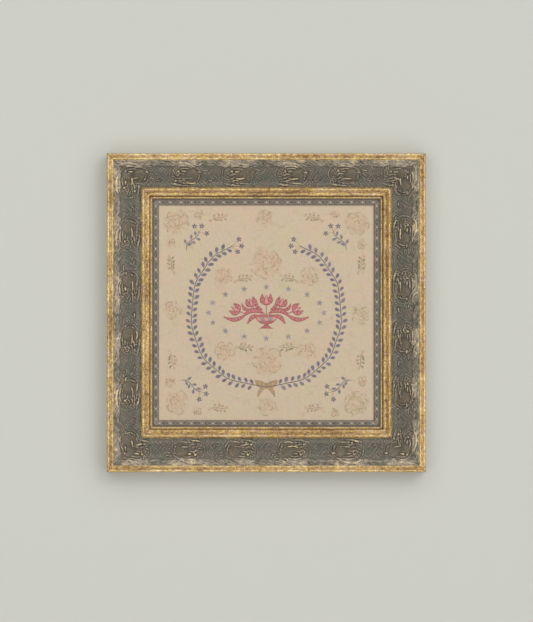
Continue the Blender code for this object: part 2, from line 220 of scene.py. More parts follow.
BOSSES = (
    Boss("bright bud", -9.1, -2.8, 1.25, 1.0, 1.25, 0.72),
    Boss("bright streak", -3.2, -2.0, 2.5, 0.85, 1.15, 0.66),
    Boss("scroll knot", 14.4, -1.4, 2.2, 0.9, 1.0, 0.56),
    Boss("inner knot", 12.8, 6.0, 1.2, 1.2, 0.9, 0.30),
    Boss("left berry", -12.3, 8.4, 1.4, 1.2, 1.0, 0.50),
    Boss("right berry", -6.8, 10.2, 1.3, 1.1, 1.0, 0.38),
    Boss("low berry", -7.6, 12.7, 2.0, 0.9, 1.0, 0.50),
    Boss("cabochon", 7.2, 1.6, 5.4, 4.2, 0.5, 0.0),
    Boss("rim glow", 9.4, -13.0, 4.4, 1.7, 0.6, 0.62),
    Boss("arch glow", -11.0, -12.2, 4.6, 1.1, 0.5, 0.55),
    Boss("far bud", 26.6, 7.8, 2.2, 0.8, 0.8, 0.26),
    Boss("high bud", 22.4, -3.4, 1.4, 0.8, 0.7, 0.22),
)
RimTip = namedtuple("RimTip", "x long reach")
RIM_EDGE = -9.3
RIM_TIPS = (
    RimTip(-16.4, 3.0, 1.4), RimTip(-5.0, 6.0, 1.6), RimTip(5.4, 2.4, 2.6), RimTip(14.0, 3.4, 1.4),
    RimTip(23.5, 3.6, 0.7), RimTip(32.0, 3.2, 1.3), RimTip(38.5, 2.6, 0.6),
)
HATCH_PITCH = 3.8
VEIN_PITCH = 3.4

# Needlework, in millimetres from the picture's middle: x to the right, z up
SIGHT_HALF = 120.65
WREATH_WIDE = 84.0
WREATH_HIGH = 82.0
WREATH_POWER = 2.25
WREATH_FIRST_DEGREES = -7.0
WREATH_LAST_DEGREES = 155.0
# Stem left bare before the wreath's first leaf and after its last
WREATH_FIRST_LEAF = 27.0
WREATH_LAST_LEAF = 6.0
LEAF_PITCH = 7.1
LEAF_LONG = 6.8
LEAF_WIDE = 3.75
LEAF_LEAN_DEGREES = 52.0
STAR_COUNT = 16
STAR_RING = (65.0, 29.0)
STAR_RADIUS = 3.4
FLOWER_RADIUS = 3.1
# From one satin stitch to the next, and the points along one side of the linen's grid
ROW_PITCH = 0.6
LINEN_STEPS = 205

# A petal or leaf of the vase of tulips: its root and tip, its width, how far it bends, its thread.
# All but those on the middle line are worked again on the other side.
Petal = namedtuple("Petal", "name x0 z0 x1 z1 wide bend thread")
URN_PETALS = (
    Petal("middle tulip side", 1.0, 9.0, 4.6, 20.5, 5.2, 0.14, "red"),
    Petal("middle tulip heart", 0.0, 9.5, 0.0, 19.0, 4.0, 0.0, "pink"),
    Petal("first tulip outer", 15.0, 7.2, 15.0, 17.8, 4.6, -0.16, "red"),
    Petal("first tulip inner", 16.4, 6.8, 22.4, 15.0, 4.6, 0.16, "red"),
    Petal("first tulip heart", 15.8, 7.4, 18.6, 15.6, 3.2, 0.0, "pink"),
    Petal("second tulip upper", 29.6, 2.0, 36.6, 10.2, 4.4, -0.14, "red"),
    Petal("second tulip lower", 30.0, 0.8, 41.4, 2.0, 4.4, 0.16, "red"),
    Petal("second tulip heart", 30.2, 1.6, 38.8, 6.0, 3.0, 0.0, "pink"),
    Petal("long leaf", 4.0, 0.4, 27.0, -5.2, 4.8, -0.20, "red"),
    Petal("tip leaf", 24.0, -3.0, 47.5, -5.0, 4.0, 0.16, "red"),
    Petal("under leaf", 8.0, -3.0, 21.0, -12.0, 4.0, -0.16, "red"),
    Petal("rising leaf", 5.0, 3.2, 11.4, 14.0, 3.2, 0.20, "red"),
    Petal("small leaf", 19.0, 3.0, 27.6, 9.6, 3.0, 0.18, "red"),
)
BOW_PETALS = (
    Petal("loop", 0.8, -81.6, 12.5, -76.5, 6.4, 0.10, "tan"),
    Petal("tail", 0.8, -83.0, 9.4, -94.0, 3.2, -0.12, "tan"),
    Petal("knot", 0.0, -84.8, 0.0, -79.4, 3.4, 0.0, "faded_edge"),
)
Stem = namedtuple("Stem", "name x0 z0 x1 z1 x2 z2 x3 z3")
URN_STEMS = (
    Stem("middle stem", 0.0, -1.0, 0.0, 3.0, 0.0, 6.0, 0.0, 9.6),
    Stem("first stem", 2.0, -1.0, 6.0, 3.0, 12.0, 2.0, 15.4, 7.0),
    Stem("second stem", 3.5, -1.6, 12.0, 3.4, 21.0, -3.6, 29.6, 1.2),
)
URN_RIBS = 5
URN_TOP = -2.4
URN_LOW = -17.5
URN_WIDE = 24.0
URN_WAIST = 0.66

# Small sprigs left of the middle line, worked again on the right: blue with flowers, or faded
Sprig = namedtuple("Sprig", "x z turn_degrees")
BLUE_SPRIGS = (Sprig(-84.0, 82.0, 42.0), Sprig(-84.0, -81.0, -44.0))
FADED_SPRIGS = (
    Sprig(-54.0, 107.0, 8.0), Sprig(-107.0, 54.0, 96.0), Sprig(-106.0, -53.0, -86.0),
    Sprig(-54.0, -107.0, -6.0), Sprig(-25.0, -38.5, -8.0), Sprig(-26.0, 38.5, 8.0),
)
Bloom = namedtuple("Bloom", "x z radius petals")
FADED_BLOOMS = (
    Bloom(0.0, 54.0, 17.5, 7), Bloom(1.0, -54.0, 17.0, 8), Bloom(-48.0, 42.0, 10.5, 6),
    Bloom(49.0, 41.0, 11.0, 6), Bloom(-47.0, -43.0, 11.5, 6), Bloom(46.0, -44.0, 10.5, 5),
    Bloom(-101.0, 102.0, 14.5, 7), Bloom(102.0, 100.0, 14.0, 7), Bloom(-100.0, -101.0, 14.0, 7),
    Bloom(101.0, -102.0, 14.5, 8), Bloom(-1.0, 106.0, 10.5, 6), Bloom(1.0, -107.0, 10.0, 5),
    Bloom(-106.0, 3.0, 10.5, 5), Bloom(106.0, -2.0, 11.0, 6), Bloom(-76.0, 111.0, 5.5, 5),
    Bloom(77.0, 111.0, 5.5, 5), Bloom(-78.0, -111.0, 5.5, 5), Bloom(77.0, -112.0, 5.5, 5),
    Bloom(-108.0, 78.0, 6.0, 6), Bloom(108.0, 77.0, 6.0, 6), Bloom(-108.0, -78.0, 6.0, 6),
    Bloom(108.0, -77.0, 6.0, 5),
)

# The stage: how far its planes reach, its soft lamps and the camera that the photograph matches
STAGE_REACH = 2.5
FLOOR_DROP = 1.6
WALL_GLOW = 0.1
ROOM_LIGHT = 0.165
LENS = 300.0
FILM = 36.0
Sun = namedtuple("Sun", "name strength spread_degrees towards")
SUNS = (
    Sun("broad_key", 2.36, 100.0, (-0.16, 1.0, -0.16)),
    Sun("edge_key", 0.38, 20.0, (-0.42, 1.0, -0.42)),
    Sun("back_fill", 1.6, 60.0, (0.5, -1.0, -0.6)),
)


def from_srgb(red, green, blue):
    """Linear colour of a screen colour given from 0 to 255."""
    share = np.array((red, green, blue)) / 255
    linear = np.where(share <= 0.04045, share / 12.92, ((share + 0.055) / 1.055) ** 2.4)
    return tuple(float(v) for v in linear)


def toned(colour, *shares):
    """A colour with its channels multiplied, each by its own share or all by the only one."""
    shares = shares * 3 if len(shares) == 1 else shares
    return tuple(value * share for value, share in zip(colour, shares))


def colour_property(name, description, red, green, blue):
    """A colour that a user can change, with its default as a screen colour."""
    return bpy.props.FloatVectorProperty(
        name=name, description=description, subtype="COLOR", size=3, min=0.0, max=1.0,
        default=from_srgb(red, green, blue),
    )


class NeedleworkSizes(bpy.types.PropertyGroup):
    """Sizes that a user would change."""

    relief: bpy.props.FloatProperty(
        name="Relief", description="Share of the ornament's full depth", default=1.0,
        min=0.0, max=1.2,
    )
    pearl_radius: bpy.props.FloatProperty(
        name="Pearl radius", description="Radius of the liner's pearls", default=1.3 * MM,
        min=0.5 * MM, max=2.0 * MM, unit="LENGTH",
    )
    pearl_pitch: bpy.props.FloatProperty(
        name="Pearl pitch", description="Distance from pearl to pearl along the liner",
        default=12.0 * MM, min=6.0 * MM, max=30.0 * MM, unit="LENGTH",
    )
    thread_width: bpy.props.FloatProperty(
        name="Thread width", description="Width of one embroidery stitch", default=0.72 * MM,
        min=0.2 * MM, max=1.5 * MM, unit="LENGTH",
    )
    weave_pitch: bpy.props.FloatProperty(
        name="Weave pitch", description="Distance between two threads of the linen",
        default=0.62 * MM, min=0.3 * MM, max=2.0 * MM, unit="LENGTH",
    )


class NeedleworkColours(bpy.types.PropertyGroup):
    """Colours that a user would change."""

    # The gilt colours are one gold leaf both worn and lit: gilt_deep paints shade in the hollows
    # and gilt_pale paints highlight along with rubbed gold on the crests.
    gilt_pale: colour_property("Pale gilt", "Rubbed gold on the crests", 255, 238, 182)
    gilt: colour_property("Gilt", "Gold leaf in the light", 216, 182, 110)
    gilt_rosy: colour_property("Rosy gilt", "Gold leaf worn thin over its clay", 204, 173, 140)
    gilt_deep: colour_property("Deep gilt", "Gold leaf in the hollows", 176, 142, 86)
    spark: colour_property("Rubbed bud", "Gold on the ornament's highest buds", 236, 212, 160)
    patina: colour_property("Patina", "Brown wax left in the quirks", 116, 88, 54)
    clay: colour_property("Clay", "Red-brown clay under the leaf", 178, 130, 96)
    # wash_glow also paints highlight on the crests of the rim's leaves.
    wash_glow: colour_property("Rubbed wash", "Crests of the rim's leaves", 204, 180, 150)
    wash_pale: colour_property("Pale wash", "Taupe wash of the rim's leaves", 174, 161, 141)
    wash_warm: colour_property("Warm wash", "Brown wash of the shells", 100, 84, 60)
    wash: colour_property("Wash", "Grey-green wash of the ornament", 90, 88, 75)
    plum: colour_property("Plum wash", "Purple-brown wash of the liner", 132, 111, 105)
    # The dark wash lies in the ornament's cuts and also paints shade: under the rim's edge, along
    # the ornament's inner edge and in the liner's two dark lines.
    dark_wash_and_painted_shade: colour_property("Dark wash", "Wash lying in the cuts", 58, 51, 40)
    # pearl is the paler colour towards the tops of the liner's pearls.
    pearl: colour_property("Pearl", "Rubbed tops of the liner's pearls", 206, 196, 174)
    linen: colour_property("Linen", "The linen ground", 214, 196, 170)
    blue: colour_property("Blue thread", "Leaves and flowers", 141, 138, 160)
    violet: colour_property("Violet thread", "Some of the leaves", 154, 135, 153)
    slate: colour_property("Slate thread", "Other leaves", 138, 142, 144)
    vine: colour_property("Vine thread", "Vines and stems", 110, 104, 119)
    grey_blue: colour_property("Grey-blue thread", "Small stars", 166, 154, 155)
    red: colour_property("Red thread", "Petals and leaves of the vase of tulips", 188, 110, 111)
    red_dark: colour_property("Dark red thread", "Outlines of the vase of tulips", 172, 80, 84)
    pink: colour_property("Pink thread", "Stripes, tulip hearts and the vase's band", 214, 164, 152)
    tan: colour_property("Tan thread", "Stems of the small flowers", 186, 158, 120)
    faded: colour_property("Faded thread", "Fill of the faded blooms", 219, 186, 156)
    faded_green: colour_property("Faded green thread", "Fill of other faded blooms", 206, 190, 155)
    faded_edge: colour_property("Faded brown thread", "Outlines of the faded blooms", 160, 138, 104)
    board: colour_property("Board", "Hardboard back", 140, 112, 80)
    pine: colour_property("Pine", "Bare wood of the rails' back", 198, 166, 122)
    wall: colour_property("Wall", "The plain backdrop", 204, 204, 194)


def unit(values):
    """Values held between 0 and 1."""
    return np.clip(values, 0, 1)


def bell(value, middle, width):
    """A smooth hump from 0 to 1: exp(-((value - middle) / width)^2)."""
    return np.exp(-(((value - middle) / width) ** 2))


def ray(angle):
    """Unit steps towards each angle: (cos, sin)."""
    return np.stack((np.cos(angle), np.sin(angle)), axis=-1)


def beside(direction):
    """Each direction turned a quarter to the left: (x, y) becomes (-y, x)."""
    return np.stack((-direction[:, 1], direction[:, 0]), axis=1)


def value_noise(x, y, pitch, seed):
    """Smooth noise from -1 to 1: random values on a square lattice of that pitch, eased between
    with 3t^2 - 2t^3 in both directions."""
    size = 256
    lattice = np.random.default_rng(seed).uniform(-1, 1, (size, size))
    across, along = np.floor(x / pitch).astype(int), np.floor(y / pitch).astype(int)
    part_x, part_y = x / pitch - across, y / pitch - along
    ease_x, ease_y = part_x**2 * (3 - 2 * part_x), part_y**2 * (3 - 2 * part_y)

    def eased(line):
        """The lattice's values along one of its lines, eased from each to the next."""
        near, far = lattice[across % size, line % size], lattice[(across + 1) % size, line % size]
        return near * (1 - ease_x) + far * ease_x

    return eased(along) * (1 - ease_y) + eased(along + 1) * ease_y


def grid_quads(rows, columns, closed=False):
    """Quads of a grid numbered row by row, its last row joined to the first where it is closed."""
    row = np.arange(rows if closed else rows - 1)[:, None]
    column = np.arange(columns - 1)[None, :]
    first, second = row * columns + column, (row + 1) % rows * columns + column
    return np.stack((first, second, second + 1, first + 1), axis=-1).reshape(-1, 4)


def tube_quads(rows, ring):
    """Quads between rows of points numbered row by row, each row a closed ring."""
    row = ring * np.arange(rows - 1)[:, None]
    index = np.arange(ring)[None, :]
    after = (index + 1) % ring
    quads = np.stack((row + index, row + ring + index, row + ring + after, row + after), axis=-1)
    return quads.reshape(-1, 4)


def repeated(groups, count, size):
    """Groups of faces for so many copies of a shape that has size points, one after the other."""
    shift = np.arange(count)[:, None, None] * size
    return [(group[None, :, :] + shift).reshape(-1, group.shape[1]) for group in groups]


def padded(masks, count):
    """Masks as flat rows, each with nothing at the count of points that follow."""
    return {key: np.concatenate((mask.ravel(), np.zeros(count))) for key, mask in masks.items()}


def make_piece(name, points, face_groups, material, attributes):
    """A mesh object at the origin from points and groups of faces, one group for each count of
    corners, with named point attributes. It rides on the part's one body."""
    mesh = bpy.data.meshes.new(name)
    groups = [np.asarray(group) for group in face_groups]
    corners = np.concatenate([group.ravel() for group in groups]).astype(np.int32)
    counts = np.concatenate([np.full(len(group), group.shape[1]) for group in groups])
    starts = np.concatenate(([0], np.cumsum(counts)[:-1])).astype(np.int32)
    mesh.vertices.add(len(points))
    mesh.vertices.foreach_set("co", np.asarray(points, np.float32).ravel())
    mesh.loops.add(len(corners))
    mesh.loops.foreach_set("vertex_index", corners)
    mesh.polygons.add(len(counts))
    mesh.polygons.foreach_set("loop_start", starts)
    mesh.polygons.foreach_set("use_smooth", np.ones(len(counts), bool))
    mesh.update(calc_edges=True)
    for label, values in attributes.items():
        values = np.asarray(values, np.float32)
        kind, field = ("FLOAT", "value") if values.ndim == 1 else ("FLOAT_COLOR", "color")
        if values.ndim == 2:
            values = np.column_stack((values, np.ones(len(values), np.float32)))
        mesh.attributes.new(label, kind, "POINT").data.foreach_set(field, values.ravel())
    mesh.materials.append(material)
    piece = bpy.data.objects.new(name, mesh)
    bpy.context.scene.collection.objects.link(piece)
    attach(piece, "root")
    return piece


def turned(points, side):
    """Side coordinates (along, inward, forward) to the frame's own: the top side lies along +X,
    and the others are it turned about the picture's middle, round the Y axis."""
    angle = math.radians(side.turn_degrees)
    along, up = points[..., 0], HALF - points[..., 1]
    x = along * math.cos(angle) + up * math.sin(angle)
    z = up * math.cos(angle) - along * math.sin(angle)
    return np.stack((x, BACK_Y - points[..., 2], z + CENTRE_Z), axis=-1)


def half_length(inward):
    """Half a side's length at a distance in from the outer edge, clear of the mitre."""
    return HALF - inward - MITRE_GAP / math.sqrt(2)


def moulding_outline(start, strokes):
    """Points of a moulding's section in metres, with the rubbed gold and painted light and the
    bareness of each.
    A stroke's point at share t lies on the straight line, raised by rise times sin(pi t)."""
    points, crest, raw = [], [], []
    last = np.array(start)
    for stroke in strokes:
        share = np.arange(1, stroke.steps + 1)[:, None] / stroke.steps
        run = last + (np.array((stroke.inward, stroke.forward)) - last) * share
        arch = np.sin(math.pi * share[:, 0])
        run[:, 1] += stroke.rise * arch
        points.append(run)
        # Painted highlight: a square root widens the pale crest across each bead.
        shine = np.sqrt(np.abs(arch)) if stroke.rise else np.full(stroke.steps, 0.5)
        crest.append(stroke.crest * shine)
        raw.append(np.full(stroke.steps, stroke.raw))
        last = np.array((stroke.inward, stroke.forward))
    return np.concatenate(points) * MM, np.concatenate(crest), np.concatenate(raw)


def moulding(start, strokes, columns, wear, seed):
    """A mitred bar in side coordinates: its closed section carried along the side and moved out
    along the section's normal by low noise, so that no edge is ruled straight."""
    outline, crest, raw = moulding_outline(start, strokes)
    rows = len(outline)
    run = np.roll(outline, -1, axis=0) - np.roll(outline, 1, axis=0)
    run /= np.linalg.norm(run, axis=1, keepdims=True)
    normal = beside(run)
    share = np.linspace(-1, 1, columns)
    along = share[None, :] * half_length(outline[:, 0])[:, None]
    length = np.concatenate(([0], np.cumsum(np.linalg.norm(np.diff(outline, axis=0), axis=1))))
    round_it = np.broadcast_to(length[:, None], along.shape)
    rough = 0.6 * value_noise(along, round_it, 9 * MM, seed)
    rough = rough + 0.4 * value_noise(along, round_it, 2.6 * MM, seed + 1)
    move = wear * rough * (1 - raw)[:, None]
    section = outline[:, None, :] + normal[:, None, :] * move[..., None]
    points = np.stack((along, section[..., 0], section[..., 1]), axis=-1).reshape(-1, 3)
    ends = [np.arange(rows) * columns, (np.arange(rows) * columns + columns - 1)[::-1]]
    faces = [grid_quads(rows, columns, closed=True), np.array(ends)]
    # The section's rubbed gold and painted light, roughened along the bar.
    rub = crest[:, None] + 0.25 * rough
    place = np.stack((along, round_it, np.full(along.shape, seed * 0.1)), axis=-1).reshape(-1, 3)
    calm = np.repeat(unit(1.0 - outline[:, 0] / (0.3 * MM)), columns)
    masks = {"crest": rub.ravel(), "raw": np.repeat(raw, columns), "place": place, "calm": calm}
    return points, faces, masks


def curve_points(guide, steps):
    """Points of a cubic curve: (1-t)^3 A + 3(1-t)^2 t B + 3(1-t) t^2 C + t^3 D."""
    share = np.linspace(0, 1, steps)[:, None]
    first, second, third, last = (np.array(guide[2 * i:2 * i + 2], float) for i in range(4))
    return (
        (1 - share) ** 3 * first + 3 * (1 - share) ** 2 * share * second
        + 3 * (1 - share) * share**2 * third + share**3 * last
    )


def near_path(x, y, path):
    """Distance of each point to a path of straight pieces, and how far along it the nearest point
    lies, from 0 to 1."""
    best = np.full(x.shape, 1e9)
    share = np.zeros(x.shape)
    pieces = len(path) - 1
    for index in range(pieces):
        start, run = path[index], path[index + 1] - path[index]
        part = unit(((x - start[0]) * run[0] + (y - start[1]) * run[1]) / (run @ run))
        gap = np.hypot(x - start[0] - part * run[0], y - start[1] - part * run[1])
        closer = gap < best
        best = np.where(closer, gap, best)
        share = np.where(closer, (index + part) / pieces, share)
    return best, share


def copies(along, middle):
    """Place along the running pattern, counted from the repeat whose feature lies nearest, and
    that repeat's number."""
    repeat = REPEAT / MM
    number = np.floor((along - middle) / repeat).astype(int)
    return along - (number + 0.5) * repeat, number


def rounded(gap, width):
    """Height of a half-round ridge: sqrt(1 - (gap/width)^2), nothing past its width."""
    return np.sqrt(unit(1 - (gap / width) ** 2))


def fan_ridges(fan):
    """The ridges of a fan: at share s of its length each lies start + length s from the root, at
    its own angle plus curl s."""
    share = np.linspace(0, 1, 4)
    made = []
    for first in np.linspace(fan.first_angle, fan.last_angle, fan.count):
        angle = np.radians(first + fan.curl * share)
        reach = fan.start + fan.length * share
        guide = np.array((fan.x, fan.y)) + reach[:, None] * ray(angle)
        made.append(Ridge(fan.name, *guide.ravel(), fan.wide, fan.height, fan.gold))
    return made


def carved_strokes(along, across, seed):
    """Height of the tables' ridges, volutes and bosses, how golden their crests are, and the groove
    beside each. Every copy of a feature is fainter or stronger by chance."""
    shapes = []
    for ridge in RIDGES + tuple(ridge for fan in FANS for ridge in fan_ridges(fan)):
        path = curve_points(ridge[1:9], 12)
        x, number = copies(along, path[:, 0].mean())
        gap, share = near_path(x, across, path)
        width = ridge.wide * (0.6 + 0.4 * np.sin(math.pi * share))
        ends = unit(np.minimum(share, 1 - share) * 6 + 0.3)
        shapes.append((ridge.height * ends * rounded(gap, width), gap / width, ridge, number))
    for volute in VOLUTES:
        share = np.linspace(0, 1, 26)
        angle = np.radians(volute.first_angle + volute.turn * share)
        radius = volute.radius * (1 - 0.72 * share)
        path = np.array((volute.x, volute.y)) + radius[:, None] * ray(angle)
        x, number = copies(along, volute.x)
        gap, share = near_path(x, across, path)
        width = volute.wide * (1 - 0.35 * share)
        shapes.append((volute.height * rounded(gap, width), gap / width, volute, number))
    for boss in BOSSES:
        x, number = copies(along, boss.x)
        gap = np.hypot((x - boss.x) / boss.long, (across - boss.y) / boss.wide)
        shapes.append((boss.height * rounded(gap, 1.0), gap, boss, number))
    random = np.random.default_rng(seed)
    height, gold, groove = (np.zeros(along.shape) for _ in range(3))
    for shape, reach, feature, number in shapes:
        chance = random.uniform(0.45, 1.1, 9)[(number + 4) % 9]
        height = np.maximum(height, shape * chance)
        gold = np.maximum(gold, np.minimum(shape, 1) * feature.gold * (1.5 * chance - 0.4))
        depth = chance * min(1.0, 0.2 + feature.height)
        groove = np.maximum(groove, depth * bell(reach, 1.65, 0.4))
    return height, gold, groove


def rim_leaf(along, across, seed):
    """Share of a place that lies on the leafy rim, whose ragged edge reaches inward at each tip,
    and its distance outward from that edge."""
    edge = RIM_EDGE + 1.0 * value_noise(along, across, 4.2, seed)
    for tip in RIM_TIPS:
        x, _ = copies(along, tip.x)
        edge = edge + tip.reach * bell(x, tip.x, tip.long)
    return unit((edge - across) / 1.3 + 0.5), edge - across


def cuts(phase):
    """Height from 0 to 1 of a surface with one narrow cut to each whole phase:
    |cos(pi phase)|^0.7."""
    return np.abs(np.cos(math.pi * phase)) ** 0.7


def hatch(along, across, shell, seed):
    """Height of the ground's wavy cuts. They lean away from the shell on both sides of it, more or
    less by chance, and cross where the two ways meet."""
    sway = 1.7 * value_noise(along, across, 8.5, seed)
    ways = [cuts((shell + lean * across + sway) / HATCH_PITCH) for lean in (0.8, -1.1)]
    right = unit(0.5 + shell / 24 + 2.6 * value_noise(along, across, 17.0, seed + 1))
    return ways[0] * right + ways[1] * (1 - right)


def ornament_relief(along, across, seed):
    """Height in millimetres of the ornament over its base, and the masks that its wash follows:
    an oval crown at each shell with close arcs round it, the tables' strokes with a groove beside
    each, the leafy rim, and a ground carved with a slanting hatch that comes and goes. Painted
    shade darkens a line just under the rim's ragged edge."""
    repeat = REPEAT / MM
    place = along + 0.75 * value_noise(along, across, 6.0, seed + 15)
    shell = place % repeat - repeat / 2
    sway = 0.65 * value_noise(along, across, 5.0, seed + 16)
    across = across + sway * unit((14.5 - np.abs(across)) / 4)
    reach = np.hypot(shell / (SHELL_LENGTH / 2), across / (SHELL_WIDTH / 2))
    crown = 0.7 * rounded(reach, 1.15)
    strokes, gold, groove = carved_strokes(place, across, seed)
    leaf, inside = rim_leaf(place, across, seed + 18)
    arcs = 0.14 * (0.5 + 0.5 * np.cos(2 * math.pi * 4.6 * reach)) * unit((1.3 - reach) * 4)
    wander = 2.2 * value_noise(along, across, 6.5, seed + 19)
    veins = 0.62 * cuts((inside + 0.4 * place + wander) / VEIN_PITCH) - 0.40
    veins = veins + 0.20 * value_noise(along, across, 1.9, seed + 13)
    bare = unit(1 - 1.6 * strokes)
    uneven = np.clip(0.40 + 0.40 * value_noise(along, across, 4.4, seed + 14), 0.08, 0.8)
    ground = uneven * hatch(place, across, shell, seed + 21) * unit((reach - 0.9) * 4)
    low = leaf * (0.8 + veins) + (1 - leaf) * (ground + arcs) - 0.6 * groove
    height = crown + strokes + bare * low
    middle = np.abs(shell + 3.0 + 11.0 * value_noise(along, 0 * across, 31.0, seed + 24))
    near = np.exp(-((middle / 15.0) ** 4))
    soft = unit(inside / 3.2 + 0.5)
    blotch = value_noise(along, across, 3.2, seed + 17)
    border = bell(across, -4.5, 4.5) + bell(across, 11.6, 1.7)
    edges = 0.5 * bell(across, -15.1, 0.9) + 0.5 * bell(across, 15.1, 0.6)
    # Painted shade: a dark line just under the rim's ragged edge, strongest near the shell's
    # middle.
    painted_shade_under_rim = 0.7 * near * bell(inside, -0.7, 0.55)
    masks = {
        "gold": unit(gold + edges + 0.45 * soft * near * unit(1.8 * blotch - 0.2)),
        "rim": unit(soft * (0.38 + 0.80 * near + 0.44 * blotch) + 0.16 * border),
        "warm": unit(2.3 - 1.5 * reach) * (0.95 + 0.7 * blotch),
        "groove": groove * bare * np.clip(0.4 + (across + 6.0) / 12, 0.35, 1) + painted_shade_under_rim,
    }
    return height, masks


def box_blur(values, cells):
    """Mean over a square of cells each way, with the edge repeated past the border."""
    for axis in (0, 1):
        pad = [(0, 0), (0, 0)]
        pad[axis] = (cells + 1, cells)
        total = np.cumsum(np.pad(values, pad, mode="edge"), axis=axis)
        count = 2 * cells + 1
        high = np.take(total, np.arange(count, total.shape[axis]), axis=axis)
        low = np.take(total, np.arange(0, total.shape[axis] - count), axis=axis)
        values = (high - low) / count
    return values


def channel_floor(inward):
    """Height of the rail's scooped channel: straight between its walls, less its sag as a sine."""
    share = (inward - CHANNEL_START * MM) / (CHANNEL_WIDTH * MM)
    slope = CHANNEL_HIGH + (CHANNEL_LOW - CHANNEL_HIGH) * share
    return (slope - CHANNEL_SAG * np.sin(math.pi * share)) * MM


def ornament_strip(relief_share, seed):
    """The raised strip in side coordinates, closed: a fine top, walls down to its seat and two
    mitred ends. Columns are even in the middle and close up to each mitre."""
    inward = np.linspace(STRIP_OUTER, STRIP_INNER, STRIP_ROWS)
    straight = np.linspace(-STRAIGHT_REACH, STRAIGHT_REACH, STRAIGHT_COLUMNS + 1)
    share = np.arange(1, MITRE_COLUMNS + 1) / MITRE_COLUMNS
    room = (half_length(inward) - STRAIGHT_REACH)[:, None]
    middle = np.broadcast_to(straight, (STRIP_ROWS, len(straight)))
    along = np.hstack((-STRAIGHT_REACH - room * share[::-1], middle, STRAIGHT_REACH + room * share))
    across = np.broadcast_to(inward[:, None], along.shape)
    middle_line = (STRIP_OUTER + STRIP_INNER) / 2
    x, y = along / MM, (across - middle_line) / MM
    relief, masks = ornament_relief(x, y, seed)
    relief = relief * relief_share
    worn = 0.08 * value_noise(x, y, 1.1, seed + 11) + 0.10 * value_noise(x, y, 4.0, seed + 12)
    seat = channel_floor(across) + SEAT_GAP
    height = seat + STRIP_BASE + (relief + worn) * MM
    top = np.stack((along, across, height), axis=-1).reshape(-1, 3)
    columns = along.shape[1]
    under = np.stack((along, across, seat), axis=-1)[:, [0, -1]].reshape(-1, 3)
    first = len(top)
    rows = np.arange(STRIP_ROWS)
    left, right = first + 2 * rows, first + 2 * rows + 1
    edge = np.arange(columns)
    far_edge = edge[::-1] + (STRIP_ROWS - 1) * columns
    walls = [
        np.concatenate((edge, [right[0], left[0]])),
        np.concatenate((far_edge, [left[-1], right[-1]])),
    ]
    ends = [
        np.concatenate(((rows * columns)[::-1], left)),
        np.concatenate((rows * columns + columns - 1, right[::-1])),
    ]
    floor = np.stack((left[:-1], right[:-1], right[1:], left[1:]), axis=1)
    faces = [grid_quads(STRIP_ROWS, columns), floor, np.array(walls), np.array(ends)]
    proud = relief - box_blur(relief, 3)
    # Paler ridges, partly wear and partly painted highlight.
    masks["rub"] = unit((proud - 0.05) / 0.40)
    # Darker hollows where the wash lies, plus painted shade under the rim's edge and in a line
    # along the strip's inner edge.
    masks["cut_and_painted_shade"] = unit(-proud / 0.42) + 0.7 * masks.pop("groove") + 0.22 * bell(y, 15.0, 0.9)
    return np.vstack((top, under)), faces, padded(masks, len(under))


def dome_row(places, long, wide, tall, seat, power):
    """Low domes side by side, joined and closed, in side coordinates. Each is a ring grid:
    at share r from the middle it is tall (1 - r^2)^power high, and its outline is an oval."""
    rings, spokes = 4, 12
    share = np.linspace(1, 0, rings + 1)[:-1]
    angle = np.arange(spokes) * 2 * math.pi / spokes
    along = (share[:, None] * np.cos(angle)[None, :]).ravel() * long
    across = (share[:, None] * np.sin(angle)[None, :]).ravel() * wide
    up = np.repeat(tall * (1 - share**2) ** power, spokes)
    base = np.stack((along, across, up), axis=1)
    base = np.vstack((base, [(0.0, 0.0, tall)]))
    index = np.arange(spokes)
    inner = (rings - 1) * spokes
    top = np.full(spokes, rings * spokes)
    fan = np.stack((inner + index, top, inner + (index + 1) % spokes), axis=1)
    groups = (tube_quads(rings, spokes), fan, index[None, :])
    middles = np.column_stack((places, np.tile(seat, (len(places), 1))))
    points = base[None, :, :] + middles[:, None, :]
    faces = repeated(groups, len(places), len(base))
    lift = np.tile(base[:, 2] / tall, len(places))
    return points.reshape(-1, 3), faces, lift


def linen_height(x, z):
    """Forward height in millimetres of the stretched linen: nearly flat, with a slow slack and
    small cockles that the stitching draws up."""
    slack = 0.10 * value_noise(x, z, 46.0, 31)
    cockle = 0.055 * value_noise(x, z, 9.0, 32) + 0.03 * value_noise(x, z, 3.5, 33)
    edge = unit((SIGHT_HALF + 1 - np.maximum(np.abs(x), np.abs(z))) / 8)
    return (slack + cockle) * edge


